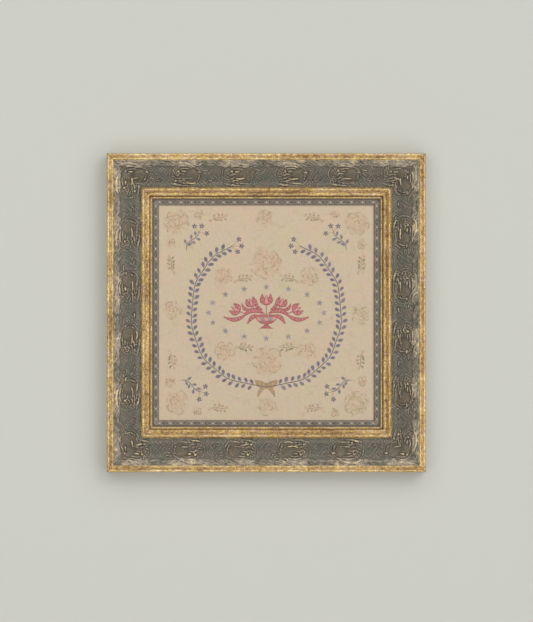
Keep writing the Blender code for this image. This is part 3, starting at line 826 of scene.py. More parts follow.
def stitch_piece(name, stitches, material, width):
    """One joined mesh of stitches. Each is a closed arched thread: a five-sided ring carried from
    its start to its end through four stations, lower and thinner at both ends."""
    start, end, thick, tint = (np.concatenate([s[i] for s in stitches]) for i in range(4))
    stations = np.array([0.0, 0.22, 0.78, 1.0])
    size = np.array([0.45, 1.0, 1.0, 0.45])
    rise = np.array([0.0, 0.35, 0.35, 0.0])
    angle = np.radians([0.0, 58.0, 122.0, 180.0, 270.0])
    run = end - start
    length = np.linalg.norm(run, axis=1, keepdims=True)
    direction = run / np.maximum(length, 1e-6)
    side = np.stack((direction[:, 1], -direction[:, 0]), axis=1)
    spine = start[:, None, :] + run[:, None, :] * stations[None, :, None]
    half = (thick * width / 2)[:, None] * size[None, :]
    offset = half[:, :, None] * np.cos(angle)[None, None, :]
    flat = spine[:, :, None, :] + side[:, None, None, :] * offset[..., None]
    up = half[:, :, None] * (0.8 * np.sin(angle)[None, None, :] + rise[None, :, None])
    ground = LINEN_FRONT + linen_height(flat[..., 0], flat[..., 1]) * MM
    points = np.stack(
        (flat[..., 0] * MM, BACK_Y - ground - up * MM, flat[..., 1] * MM + CENTRE_Z), axis=-1,
    )
    ring = len(angle)
    index = np.arange(ring)
    quads = tube_quads(len(stations), ring)[:, [0, 3, 2, 1]]
    caps = np.stack((index[::-1], index + (len(stations) - 1) * ring))
    faces = repeated((quads, caps), len(start), len(stations) * ring)
    ply = stations[None, :, None] * length[:, :, None] / 0.9 + np.arange(ring)[None, None, :] / ring
    shade = np.repeat((0.94, 1.03, 1.0, 0.86), ring)
    colour = (tint[:, None, :] * shade[None, :, None]).reshape(-1, 3)
    attributes = {"thread": colour, "ply": ply.reshape(-1)}
    return make_piece(name, points.reshape(-1, 3), faces, material, attributes)


def shaded(colour, count, seed, spread=0.10):
    """One thread colour for each stitch, a little lighter or darker by chance and with a hint of
    another hue."""
    random = np.random.default_rng(seed)
    light = 1 + spread * random.uniform(-1, 1, (count, 1))
    light = light + 0.4 * spread * random.uniform(-1, 1, (count, 3))
    return unit(np.array(colour)[None, :] * light)


def blue_mix(colours, count, seed):
    """One colour for each leaf, by chance between the blue, the violet and the slate thread."""
    share = np.random.default_rng(seed).dirichlet((0.55, 0.5, 0.45), count)
    threads = np.array((colours.blue, colours.violet, colours.slate))
    return share @ threads * shaded((1, 1, 1), count, seed + 1, 0.12)


def fishbone_leaves(base, direction, long, wide, tints, seed):
    """Leaves of slanting stitches from a mid-vein to both edges, darkest in the middle. At share t
    of its length a leaf is wide sin(pi t^0.8)^0.9 across, and each stitch runs forward as far as
    it runs out."""
    per_side = int(1.2 * long.mean())
    share = np.linspace(0.06, 0.93, per_side)[None, :]
    side = beside(direction)
    half = (wide / 2)[:, None] * np.sin(math.pi * share**0.8) ** 0.9
    vein = base[:, None, :] + direction[:, None, :] * (long[:, None] * share)[..., None]
    forward = direction[:, None, :] * (0.55 * half + 0.25)[..., None]
    runs = []
    for sign in (-1, 1):
        tip = vein + side[:, None, :] * (sign * half)[..., None] + forward
        root = vein - side[:, None, :] * (sign * 0.10)
        runs.append((root.reshape(-1, 2), tip.reshape(-1, 2)))
    start, end = (np.concatenate(ends) for ends in zip(*runs))
    depth = np.tile(1.16 - 0.36 * np.sin(math.pi * share[0]), 2 * len(long))[:, None]
    tint = np.tile(np.repeat(tints, per_side, axis=0), (2, 1)) * depth
    tint = tint * shaded((1, 1, 1), len(start), seed + 1, 0.10)
    return start, end, np.full(len(start), 1.0), unit(tint)


def along_path(path, pitch, first=0.0, last=0.0):
    """Points and directions at an even pitch along a path of straight pieces."""
    length = np.concatenate(([0], np.cumsum(np.linalg.norm(np.diff(path, axis=0), axis=1))))
    place = np.arange(first, length[-1] - last, pitch)

    def at(distance):
        """Points at distances along the path."""
        return np.stack([np.interp(distance, length, path[:, i]) for i in range(2)], axis=1)

    direction = at(place + 0.4) - at(place - 0.4)
    return at(place), direction / np.maximum(np.linalg.norm(direction, axis=1, keepdims=True), 1e-6)


def stem_stitches(path, colour, seed, thick):
    """Overlapping slanted stitches along a path, each three millimetres long and two thirds over
    the one before it."""
    point, direction = along_path(path, 1.0)
    side = beside(direction)
    start = point - direction * 1.5 - side * 0.16
    end = point + direction * 1.5 + side * 0.16
    return start, end, np.full(len(point), thick), shaded(colour, len(point), seed)


def petal_sides(petal, share):
    """Points on both sides of a petal at shares t of its length. It is wide sin(pi t^0.85)^0.8
    across, and its middle line is bent sideways by bend sin(pi t) of its length."""
    base, tip = np.array((petal.x0, petal.z0)), np.array((petal.x1, petal.z1))
    run = tip - base
    long = np.linalg.norm(run)
    side = np.array((-run[1], run[0])) / long
    share = share[:, None]
    middle = base + run * share - side * petal.bend * long * np.sin(math.pi * share)
    half = petal.wide / 2 * np.sin(math.pi * share**0.85) ** 0.8 + 0.12
    return middle - side * half, middle + side * half, run / long * half * 0.35


def petal_stitches(petal, colours, edge_colour, seed):
    """Satin stitches laid across a petal with a stem-stitched outline, and the same again beyond
    the middle line unless the petal stands on it."""
    long = math.hypot(petal.x1 - petal.x0, petal.z1 - petal.z0)
    count = max(4, int(long / ROW_PITCH))
    left, right, slant = petal_sides(petal, np.linspace(0.04, 0.97, count))
    tint = shaded(getattr(colours, petal.thread), count, seed, 0.13)
    stripe = (np.arange(count) // 3 % 2 == 1) & (petal.thread == "red")
    tint[stripe] = 0.55 * tint[stripe] + 0.45 * np.array(colours.pink)
    fill = (left - slant, right + slant, np.full(count, 0.9), tint)
    left, right, _ = petal_sides(petal, np.linspace(0.0, 1.0, 24))
    outline = stem_stitches(np.vstack((left, right[::-1])), edge_colour, seed + 1, 0.62)
    made = [fill, outline]
    return both_sides(made) if petal.x1 else made


def flowerets(centres, turn, radius, petals, colour, seed):
    """Small flowers: petals of three long stitches each round an open middle."""
    spread = np.array([-0.20, 0.0, 0.20])
    arms = np.arange(petals)[None, :, None] * 2 * math.pi / petals
    angle = turn[:, None, None] + arms + spread[None, None, :]
    reach = radius * np.array([0.86, 1.0, 0.86])[None, None, :] * np.ones_like(angle)
    out = ray(angle)
    start = centres[:, None, None, :] + out * 0.5
    end = centres[:, None, None, :] + out * reach[..., None]
    tint = shaded(colour, angle.size, seed)
    return start.reshape(-1, 2), end.reshape(-1, 2), np.full(angle.size, 0.95), tint


def star_stitches(centres, radius, colour, seed):
    """Five-pointed stars: five stitches to each point, spread at the middle and meeting at the
    tip."""
    spread = np.radians((-44.0, -22.0, 0.0, 22.0, 44.0))
    turn = np.random.default_rng(seed).uniform(-0.25, 0.25, (len(centres), 1, 1))
    arm = math.pi / 2 + turn + np.arange(5)[None, :, None] * 2 * math.pi / 5 + np.zeros(5)
    root = arm + spread
    inner = radius * np.array((0.28, 0.26, 0.0, 0.26, 0.28))[:, None]
    start = centres[:, None, None, :] + inner * ray(root)
    end = centres[:, None, None, :] + radius * ray(arm)
    tint = np.repeat(shaded(colour, len(centres), seed, 0.16), 25, axis=0)
    tint = unit(tint * shaded((1, 1, 1), arm.size, seed + 1))
    return start.reshape(-1, 2), end.reshape(-1, 2), np.full(arm.size, 0.85), tint


def faded_petal(centre, radius, facing, fill, edge, seed):
    """One round petal of a faded bloom: pale stitches that fan out from its foot, some of them worn
    away, and a brown line round its outer side, broken where a slow noise is low."""
    random = np.random.default_rng(seed)
    count = max(5, int(2.6 * radius / 0.85))
    angle = facing + np.linspace(-1.25, 1.25, count) + random.uniform(-0.05, 0.05, count)
    out = ray(angle)
    foot = centre - 0.45 * radius * np.array((math.cos(facing), math.sin(facing)))
    start = foot + out * radius * random.uniform(0.15, 0.45, (count, 1))
    end = centre + out * radius * random.uniform(0.84, 0.97, (count, 1))
    keep = random.uniform(0, 1, count) > 0.52
    tint = shaded(fill, keep.sum(), seed + 1, 0.06)
    runs = [(start[keep], end[keep], np.full(keep.sum(), 0.62), tint)]
    steps = int(4.0 * radius / 1.15) + 1
    angle = facing + np.linspace(-2.0, 2.0, steps + 1)
    wobble = random.uniform(0.95, 1.04, (steps + 1, 1))
    rim = centre + radius * ray(angle) * wobble
    fade = value_noise(rim[:-1, 0], rim[:-1, 1], 4.0, seed + 2)
    keep = fade > 0.16
    tint = shaded(edge, keep.sum(), seed + 3, 0.10) * (1.12 - 0.55 * fade[keep])[:, None]
    runs.append((rim[:-1][keep], rim[1:][keep], np.full(keep.sum(), 0.62), unit(tint)))
    return runs


def faded_bloom(bloom, colours, seed):
    """A faded rose: an outer and a middle ring of overlapping round petals and three at its heart,
    each bloom between peach and green by chance."""
    random = np.random.default_rng(seed)
    place = np.array((bloom.x, bloom.z))
    hue = random.uniform(0, 1) ** 1.6
    fill = np.array(colours.faded) * (1 - hue) + np.array(colours.faded_green) * hue
    rings = ((0.62, 0.38, bloom.petals), (0.33, 0.28, bloom.petals - 1), (0.12, 0.17, 3))
    runs = []
    for ring, (out, size, count) in enumerate(rings):
        turn = random.uniform(0, 2 * math.pi)
        for index in range(count):
            facing = turn + index * 2 * math.pi / count + random.uniform(-0.12, 0.12)
            step = np.array((math.cos(facing), 0.94 * math.sin(facing)))
            centre = place + bloom.radius * out * step
            radius = bloom.radius * size * random.uniform(0.88, 1.1)
            petal_seed = seed + 40 * ring + 5 * index
            runs += faded_petal(centre, radius, facing, fill, colours.faded_edge, petal_seed)
    return runs


def mirrored(stitches):
    """The same stitches on the other side of the picture's upright middle line."""
    start, end, thick, tint = stitches
    flip = np.array((-1.0, 1.0))
    return end * flip, start * flip, thick, tint


def both_sides(runs):
    """Runs of stitches, and then the same runs beyond the middle line."""
    return runs + [mirrored(run) for run in runs]


class NodeBuilder:
    """Adds nodes to one material and links them."""

    def __init__(self, name):
        self.material = bpy.data.materials.new(name)
        self.material.use_nodes = True
        self.tree = self.material.node_tree
        self.shader = self.tree.nodes["Principled BSDF"]
        self.where = self.node("ShaderNodeTexCoord").outputs["Object"]

    def node(self, kind, inputs=None, **settings):
        made = self.tree.nodes.new(kind)
        for key, value in settings.items():
            setattr(made, key, value)
        for key, value in (inputs or {}).items():
            self.put(made.inputs[key], value)
        return made

    def put(self, socket, value):
        if isinstance(value, bpy.types.NodeSocket):
            self.tree.links.new(value, socket)
        elif socket.type == "RGBA":
            socket.default_value = (*value[:3], 1.0)
        else:
            socket.default_value = value

    def math(self, operation, first, second=0.0, clamp=False):
        made = self.node("ShaderNodeMath", operation=operation, use_clamp=clamp)
        self.put(made.inputs[0], first)
        self.put(made.inputs[1], second)
        return made.outputs[0]

    def times(self, first, second, clamp=False):
        return self.math("MULTIPLY", first, second, clamp)

    def plus(self, first, second, clamp=False):
        return self.math("ADD", first, second, clamp)

    def noise(self, scale, detail=2.0, where=None, roughness=0.55):
        inputs = {"Scale": scale, "Detail": detail, "Roughness": roughness}
        inputs["Vector"] = where or self.where
        return self.node("ShaderNodeTexNoise", inputs).outputs["Fac"]

    def stretched(self, x, y, z, where=None):
        """Object coordinates, or others, with each axis multiplied, for grain and threads."""
        inputs = {"Vector": where or self.where, "Scale": (x, y, z)}
        return self.node("ShaderNodeMapping", inputs).outputs[0]

    def attribute(self, name, output="Fac"):
        return self.node("ShaderNodeAttribute", attribute_name=name).outputs[output]

    def spread(self, value, low, high, to_low=0.0, to_high=1.0):
        inputs = {"Value": value, "From Min": low, "From Max": high}
        inputs.update({"To Min": to_low, "To Max": to_high})
        return self.node("ShaderNodeMapRange", inputs).outputs[0]

    def mix(self, share, first, second):
        made = self.node("ShaderNodeMix", data_type="RGBA")
        self.put(made.inputs["Factor"], share)
        self.put(made.inputs[6], first)
        self.put(made.inputs[7], second)
        return made.outputs[2]

    def layer(self, colour, over, value, low, high, most=1.0):
        """The colour with another over it, from none of it at the low value to most at the high."""
        return self.mix(self.spread(value, low, high, 0.0, most), colour, over)

    def bump(self, height, distance, strength=1.0, under=None):
        inputs = {"Height": height, "Distance": distance, "Strength": strength}
        made = self.node("ShaderNodeBump", inputs)
        if under is not None:
            self.put(made.inputs["Normal"], under)
        return made.outputs[0]

    def finish(self, colour, roughness, metallic=0.0, normal=None, specular=0.5):
        self.put(self.shader.inputs["Base Color"], colour)
        self.put(self.shader.inputs["Roughness"], roughness)
        self.put(self.shader.inputs["Metallic"], metallic)
        self.shader.inputs["Specular IOR Level"].default_value = specular
        if normal is not None:
            self.put(self.shader.inputs["Normal"], normal)
        return self.material


def gilt_colour(build, colours, crest):
    """Mottled worn gold with painted light: pale on the crests from rubbing and painted highlight,
    darker and browner in the hollows and quirks from patina and painted shade, with clay showing
    through.
    Its patches run along the moulding."""
    run = build.stretched(0.62, 1.0, 1.0, build.attribute("place", "Vector"))
    broad = build.noise(60.0, 3.0, run)
    patch = build.noise(380.0, 3.0, run, 0.65)
    speck = build.noise(1100.0, 2.0, run, 0.6)
    level = build.plus(build.times(crest, 0.34), 0.36)
    for share, fine in ((0.34, patch), (0.18, broad), (0.40, speck)):
        level = build.plus(level, build.spread(fine, 0.30, 0.70, -share, share))
    colour = build.mix(build.spread(level, 0.0, 0.25), colours.patina, colours.gilt_deep)
    thin = build.spread(build.noise(150.0, 3.0, run), 0.44, 0.60)
    leaf = build.mix(thin, colours.gilt, colours.gilt_rosy)
    colour = build.layer(colour, leaf, level, 0.22, 0.52)
    colour = build.layer(colour, colours.gilt_pale, level, 0.56, 0.94)
    clay = build.spread(build.noise(260.0, 4.0, run, 0.7), 0.52, 0.66, 0.0, 0.32)
    return build.mix(clay, colour, colours.clay), level, clay, speck


def pine_colour(build, colours):
    """Bare wood whose grain runs along each bar."""
    run = build.stretched(28.0, 640.0, 1.0, build.attribute("place", "Vector"))
    grain = build.noise(1.0, 4.0, run, 0.6)
    return build.mix(build.spread(grain, 0.35, 0.65), colours.pine, toned(colours.pine, 0.66))


def gilt_material(colours):
    """Gold leaf over clay on the front, plainer and duller gold on the outer edge, and bare pine
    on the back."""
    build = NodeBuilder("worn_gilt")
    colour, level, clay, speck = gilt_colour(build, colours, build.attribute("crest"))
    cloud = build.spread(build.noise(35.0, 4.0), 0.35, 0.65)
    plain = build.mix(cloud, colours.gilt_deep, colours.gilt)
    colour = build.mix(build.times(build.attribute("calm"), 0.8), colour, plain)
    raw = build.attribute("raw")
    colour = build.mix(raw, colour, pine_colour(build, colours))
    bright = build.math("SUBTRACT", 1.0, build.math("MAXIMUM", raw, clay))
    metallic = build.times(bright, 0.30)
    roughness = build.spread(level, 0.0, 1.0, 0.62, 0.40)
    normal = build.bump(speck, 0.25 * MM, 0.6)
    return build.finish(colour, roughness, metallic, normal)


def wash_colour(build, colours, rub, cut_and_painted_shade, rim, warm=0.0):
    """Grey-green wash that drifts to green and to violet: taupe on the rim's leaves, with painted
    highlight and rubbed wash on their crests, browner on the shells, dark in the cuts and where
    shade is painted, and pale here and there on the crests from wear and painted highlight."""
    broad = build.noise(42.0, 3.0)
    patch = build.noise(190.0, 3.0, roughness=0.6)
    speck = build.noise(620.0, 2.0, roughness=0.6)
    drift = build.noise(85.0, 2.0)
    tone = build.spread(build.plus(broad, build.times(patch, 0.7)), 0.55, 1.15, 0.0, 0.65)
    colour = build.mix(tone, colours.wash, toned(colours.wash, 0.72))
    green, violet = toned(colours.wash, 0.86, 1.0, 0.98), toned(colours.wash, 1.20, 0.98, 1.12)
    colour = build.layer(colour, green, drift, 0.50, 0.36, 0.8)
    colour = build.layer(colour, violet, drift, 0.50, 0.64, 0.8)
    colour = build.mix(build.times(warm, 0.60, clamp=True), colour, colours.wash_warm)
    pale = build.times(rim, build.spread(patch, 0.34, 0.58, 0.45, 1.0), clamp=True)
    colour = build.mix(pale, colour, colours.wash_pale)
    dust = build.spread(speck, 0.50, 0.76, 0.0, 0.22)
    colour = build.mix(dust, colour, colours.wash_pale)
    # Dark wash in the cuts, and painted shade where the mask carries it.
    colour = build.mix(build.times(cut_and_painted_shade, 0.80, clamp=True), colour, colours.dark_wash_and_painted_shade)
    # Pale on the crests from wear, and painted highlight.
    broken = build.plus(build.times(patch, 0.4), build.times(speck, 0.6))
    worn = build.times(rub, build.spread(broken, 0.42, 0.58, 0.05, 1.1), clamp=True)
    colour = build.mix(worn, colour, colours.wash_pale)
    # Painted highlight on the crests of the rim's leaves.
    crest = build.times(rub, rim)
    glow = build.times(crest, build.spread(speck, 0.40, 0.60, 0.35, 1.25), clamp=True)
    return build.mix(glow, colour, colours.wash_glow), patch, speck


def ornament_material(colours):
    """The washed composition of the running ornament, rubbed back to gold on its highest buds."""
    build = NodeBuilder("washed_ornament")
    keys = ("rub", "cut_and_painted_shade", "rim", "warm", "gold")
    rub, cut_and_painted_shade, rim, warm, gold = (build.attribute(key) for key in keys)
    colour, patch, speck = wash_colour(build, colours, rub, cut_and_painted_shade, rim, warm)
    bare = build.times(gold, build.spread(patch, 0.36, 0.60, 0.55, 1.30))
    bare = build.spread(bare, 0.24, 0.90)
    colour = build.mix(bare, colour, colours.spark)
    metallic = build.times(bare, 0.3)
    roughness = build.spread(bare, 0.0, 1.0, 0.66, 0.42)
    return build.finish(colour, roughness, metallic, build.bump(speck, 0.2 * MM, 0.5))


def liner_material(colours):
    """Grey wash with a gilded thin bead, and bare pine under the linen."""
    build = NodeBuilder("washed_liner")
    gold, _, _, speck = gilt_colour(build, colours, build.attribute("crest"))
    cut_and_painted_shade = build.attribute("cut_and_painted_shade")
    wash, patch, _ = wash_colour(build, colours, 0.0, cut_and_painted_shade, 0.6)
    tinge = build.spread(patch, 0.35, 0.65, 0.15, 0.70)
    tinge = build.times(tinge, build.math("SUBTRACT", 1.0, cut_and_painted_shade))
    wash = build.mix(tinge, wash, colours.plum)
    colour = build.mix(build.attribute("gilded"), wash, gold)
    colour = build.mix(build.attribute("raw"), colour, pine_colour(build, colours))
    metallic = build.times(build.attribute("gilded"), 0.3)
    return build.finish(colour, 0.55, metallic, build.bump(speck, 0.2 * MM, 0.5))


def pearl_material(colours):
    """Grey-washed pearls, paler towards their tops and darker at their feet."""
    build = NodeBuilder("washed_pearls")
    lift = build.attribute("lift")
    speck = build.noise(620.0, 2.0)
    top = build.spread(lift, 0.25, 0.95)
    top = build.plus(top, build.spread(speck, 0.35, 0.65, -0.2, 0.2), clamp=True)
    colour = build.mix(build.spread(lift, 0.0, 0.35), toned(colours.wash, 0.7), colours.wash)
    colour = build.mix(top, colour, colours.pearl)
    return build.finish(colour, 0.5, 0.0, build.bump(speck, 0.15 * MM, 0.4))


def linen_material(colours, pitch):
    """Plain weave of uneven threads, with faint age stains."""
    build = NodeBuilder("natural_linen")
    axes = build.node("ShaderNodeSeparateXYZ", {"Vector": build.where})
    waves = []
    for axis, other in (("X", "Z"), ("Z", "X")):
        wander = build.times(build.noise(180.0, 2.0), 1.6)
        phase = build.plus(build.times(axes.outputs[axis], 2 * math.pi / pitch), wander)
        over = build.times(axes.outputs[other], math.pi / pitch)
        rib = build.times(build.math("SINE", phase), 0.5)
        waves.append(build.times(rib, build.plus(1.0, build.math("SINE", over))))
    weave = build.math("MAXIMUM", waves[0], waves[1])
    warp = build.noise(1.0, 3.0, build.stretched(1500.0, 1.0, 90.0), 0.6)
    weft = build.noise(1.0, 3.0, build.stretched(90.0, 1.0, 1500.0), 0.6)
    slub = build.plus(warp, weft)
    stain = build.noise(14.0, 4.0, roughness=0.6)
    mottle = build.noise(300.0, 3.0, roughness=0.65)
    blush = build.noise(88.0, 3.0, roughness=0.65)
    low = build.spread(axes.outputs["Z"], CENTRE_Z + 0.12, CENTRE_Z - 0.12)
    dark, pale = toned(colours.linen, 0.80), toned(colours.linen, 1.07, 1.08, 1.12)
    rosy, sallow = toned(colours.linen, 1.03, 0.92, 0.89), toned(colours.linen, 0.98, 0.99, 0.82)
    colour = build.mix(build.spread(slub, 0.70, 1.35, 0.22, 1.0), dark, pale)
    colour = build.layer(colour, rosy, stain, 0.44, 0.70, 0.85)
    colour = build.layer(colour, sallow, stain, 0.50, 0.34, 0.60)
    colour = build.layer(colour, rosy, blush, 0.46, 0.66, 0.75)
    colour = build.layer(colour, sallow, blush, 0.48, 0.32, 0.85)
    colour = build.mix(build.times(build.attribute("peach"), 0.55), colour, colours.faded)
    colour = build.mix(build.times(build.attribute("brown"), 0.34), colour, colours.faded_edge)
    colour = build.layer(colour, dark, mottle, 0.42, 0.72, 0.42)
    # Darker towards the bottom.
    colour = build.mix(build.times(low, 0.16), colour, dark)
    colour = build.layer(colour, dark, weave, 0.30, -0.40, 0.26)
    normal = build.bump(weave, 0.16 * MM, 0.8, build.bump(slub, 0.10 * MM, 0.5))
    material = build.finish(colour, 0.92, 0.0, normal, specular=0.25)
    build.shader.inputs["Sheen Weight"].default_value = 0.12
    build.shader.inputs["Sheen Roughness"].default_value = 0.5
    return material


def thread_material():
    """Stranded thread in each stitch's own colour, with its twist."""
    build = NodeBuilder("stranded_thread")
    twist = build.math("SINE", build.times(build.attribute("ply"), 2 * math.pi))
    tint = build.attribute("thread", "Color")
    fuzz = build.noise(900.0, 2.0)
    fade = build.spread(fuzz, 0.30, 0.70, -0.16, 0.16)
    fade = build.plus(fade, build.times(twist, 0.07))
    shade = build.node("ShaderNodeHueSaturation", {"Color": tint, "Value": build.plus(1.0, fade)})
    normal = build.bump(twist, 0.08 * MM, 0.7)
    material = build.finish(shade.outputs[0], 0.62, 0.0, normal, specular=0.35)
    build.shader.inputs["Sheen Weight"].default_value = 0.15
    return material


def board_material(colours):
    """Brown hardboard with short fibres and a few scuffs."""
    build = NodeBuilder("brown_hardboard")
    fibre = build.noise(1.0, 5.0, build.stretched(420.0, 1.0, 900.0), 0.7)
    broad = build.noise(9.0, 3.0)
    scuff = build.spread(build.noise(70.0, 6.0, roughness=0.8), 0.60, 0.72, 0.0, 0.35)
    pale = tuple(min(1.0, value) for value in toned(colours.board, 1.7))
    colour = build.mix(build.spread(fibre, 0.30, 0.70), toned(colours.board, 0.72), colours.board)
    colour = build.layer(colour, toned(colours.board, 1.25), broad, 0.35, 0.65, 0.35)
    colour = build.mix(scuff, colour, pale)
    return build.finish(colour, 0.82, 0.0, build.bump(fibre, 0.15 * MM, 0.5), specular=0.3)


def steel_material():
    """Zinc-plated sheet steel, dulled in patches."""
    build = NodeBuilder("zinc_steel")
    brushed = build.noise(1.0, 3.0, build.stretched(300.0, 300.0, 4200.0), 0.6)
    dull = build.noise(210.0, 4.0)
    pale, dark = from_srgb(196, 197, 196), from_srgb(132, 132, 130)
    colour = build.mix(build.spread(dull, 0.35, 0.65), dark, pale)
    roughness = build.spread(brushed, 0.3, 0.7, 0.28, 0.46)
    return build.finish(colour, roughness, 0.9, build.bump(brushed, 0.04 * MM, 0.4))


class NEEDLEWORK_OT_rails(bpy.types.Operator):
    """Build the four gilded rails"""

    bl_idname = "needlework.rails"
    bl_label = "Gilded rails"

    def execute(self, context):
        gilt = gilt_material(context.scene.needlework_colours)
        for number, side in enumerate(SIDES):
            seed = 3 + 10 * number
            points, faces, masks = moulding(RAIL_START, RAIL_STROKES, RAIL_COLUMNS, RAIL_WEAR, seed)
            name = f"gilded_rail_{side.name}"
            piece = make_piece(name, turned(points, side), faces, gilt, masks)
            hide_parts(f"rail_{side.name}")
        return {"FINISHED"}


class NEEDLEWORK_OT_ornament(bpy.types.Operator):
    """Build the four strips of scroll ornament"""

    bl_idname = "needlework.ornament"
    bl_label = "Scroll ornament"

    def execute(self, context):
        wash = ornament_material(context.scene.needlework_colours)
        relief = context.scene.needlework_sizes.relief
        for number, side in enumerate(SIDES):
            points, faces, masks = ornament_strip(relief, 1000 + 50 * number)
            name = f"scroll_strip_{side.name}"
            piece = make_piece(name, turned(points, side), faces, wash, masks)
            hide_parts(f"ornament_{side.name}")
        return {"FINISHED"}


class NEEDLEWORK_OT_liner(bpy.types.Operator):
    """Build the liner slips with their pearls and lozenges"""

    bl_idname = "needlework.liner"
    bl_label = "Pearled liner"

    def execute(self, context):
        colours, sizes = context.scene.needlework_colours, context.scene.needlework_sizes
        wash, pearl = liner_material(colours), pearl_material(colours)
        points, faces, masks = moulding(LINER_START, LINER_STROKES, LINER_COLUMNS, LINER_WEAR, 5)
        inward = points[:, 1] / MM
        masks["gilded"] = unit((GILDING_END - inward) / 0.3) * (1 - masks["raw"])
        # Painted shade: dark lines in the quirk and just short of the sight edge.
        masks["cut_and_painted_shade"] = bell(inward, QUIRK_LINE, 1.2) + 0.5 * bell(inward, SIGHT_LINE, 0.8)
        radius, seat = sizes.pearl_radius, (PEARL_ROW, PEARL_BED)
        count = int((half_length(PEARL_ROW) - radius) / sizes.pearl_pitch)
        pearls = np.arange(-count, count + 1) * sizes.pearl_pitch
        between = (np.arange(-count, count) + 0.5) * sizes.pearl_pitch
        round_one = dome_row(pearls, radius, radius, PEARL_HIGH, seat, 0.5)
        *pointed, lift = dome_row(between, LOZENGE_LONG, LOZENGE_WIDE, LOZENGE_HIGH, seat, 0.8)
        pointed.append(LOZENGE_LIFT * lift)
        for side in SIDES:
            name = f"liner_slip_{side.name}"
            piece = make_piece(name, turned(points, side), faces, wash, masks)
            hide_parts(f"liner_{side.name}")
            for label, (places, groups, lift) in (("pearls", round_one), ("lozenges", pointed)):
                name = f"liner_{label}_{side.name}"
                make_piece(name, turned(places, side), groups, pearl, {"lift": lift})
        return {"FINISHED"}


def faded_smudges(x, z):
    """Shares of peach and of brown that the old dye left in the linen. Peach lies in each faded
    bloom, brown round it and round its heart and in faint trails elsewhere, all broken by noise."""
    peach, brown = np.zeros(x.shape), np.zeros(x.shape)
    wander = 0.14 * value_noise(x, z, 5.0, 42)
    for bloom in FADED_BLOOMS:
        reach = np.hypot(x - bloom.x, z - bloom.z) / bloom.radius + wander
        peach = np.maximum(peach, unit(2.2 - 2.2 * reach))
        ring = bell(reach, 0.90, 0.13) + 0.6 * bell(reach, 0.45, 0.12)
        brown = np.maximum(brown, ring)
    trails = unit(1 - 7 * np.abs(value_noise(x, z, 17.0, 43)))
    peach = peach * (0.55 + 0.60 * value_noise(x, z, 6.0, 44))
    brown = (brown + 0.7 * trails) * (0.25 + 1.1 * value_noise(x, z, 3.2, 41))
    return {"peach": unit(peach), "brown": unit(brown)}


def linen_sheet(material):
    """The linen as one closed thin sheet: a fine front at the stretched height, its back flat."""
    steps = LINEN_STEPS
    line = np.linspace(-LINEN_SIDE / 2, LINEN_SIDE / 2, steps) / MM
    x, z = np.meshgrid(line, line)
    front = LINEN_FRONT + linen_height(x, z) * MM
    rim = np.concatenate((
        np.arange(steps), np.arange(1, steps) * steps + steps - 1,
        (steps - 1) * steps + np.arange(steps - 1)[::-1], np.arange(1, steps - 1)[::-1] * steps,
    ))
    top = np.stack((x * MM, BACK_Y - front, z * MM + CENTRE_Z), axis=-1).reshape(-1, 3)
    thickness = LINEN_BOX[1].y - LINEN_BOX[0].y
    back = top[rim].copy()
    back[:, 1] = BACK_Y - LINEN_FRONT + thickness
    low = len(top) + np.arange(len(rim))
    walls = np.stack((rim, low, np.roll(low, -1), np.roll(rim, -1)), axis=1)
    quads = grid_quads(steps, steps)[:, ::-1]
    faces = [quads, walls, low[None, ::-1]]
    smudges = padded(faded_smudges(x, z), len(back))
    return make_piece("linen_ground", np.vstack((top, back)), faces, material, smudges)


def wreath_half():
    """Left half of the wreath, from its crossing at the foot to its open top. It follows
    |x/W|^p + |z/H|^p = 1, and a little cosine makes it wave as it rises."""
    angle = np.radians(np.linspace(WREATH_FIRST_DEGREES, WREATH_LAST_DEGREES, 600))
    wave = 1 + 0.008 * np.cos(13 * angle)
    across, up = np.sin(angle), np.cos(angle)
    round_off = 2 / WREATH_POWER
    x = -WREATH_WIDE * wave * np.sign(across) * np.abs(across) ** round_off
    z = -WREATH_HIGH * wave * np.sign(up) * np.abs(up) ** round_off
    return np.stack((x, z), axis=1)


def vine_leaves(path, tints, seed, long, wide, pitch, first, last=2.0):
    """Paired leaves along a vine, leaning forward on both sides. The tints give each leaf's colour
    from their count and a seed."""
    random = np.random.default_rng(seed)
    groups = []
    for sign in (-1, 1):
        point, direction = along_path(path, pitch, first + 0.9 * (sign + 1), last)
        lean = math.radians(LEAF_LEAN_DEGREES) * sign + random.uniform(-0.14, 0.14, len(point))
        out = np.stack((
            direction[:, 0] * np.cos(lean) - direction[:, 1] * np.sin(lean),
            direction[:, 0] * np.sin(lean) + direction[:, 1] * np.cos(lean),
        ), axis=1)
        size = random.uniform(0.9, 1.08, len(point))
        base, leaf_tints = point + out * 1.1, tints(len(point), seed + 3 + sign)
        groups.append(fishbone_leaves(base, out, long * size, wide * size, leaf_tints, seed + sign))
    return groups


def placed(points, sprig):
    """Points of a sprig's own drawing, turned and moved to its place on the linen."""
    turn = math.radians(sprig.turn_degrees)
    rotate = np.array(((math.cos(turn), math.sin(turn)), (-math.sin(turn), math.cos(turn))))
    return np.asarray(points, float) @ rotate + np.array((sprig.x, sprig.z))


def flower_head(root, heads, colours, seed):
    """Three small blue flowers on tan stalks that leave a stem at its root point."""
    runs = []
    for index, head in enumerate(heads):
        stalk = np.stack((root, root * 0.4 + head * 0.6, head))
        runs.append(stem_stitches(stalk, colours.tan, seed + index, 0.6))
    turn = np.arange(len(heads)) * 0.7 + seed
    runs.append(flowerets(heads, turn, FLOWER_RADIUS, 5, colours.vine, seed + 9))
    return runs


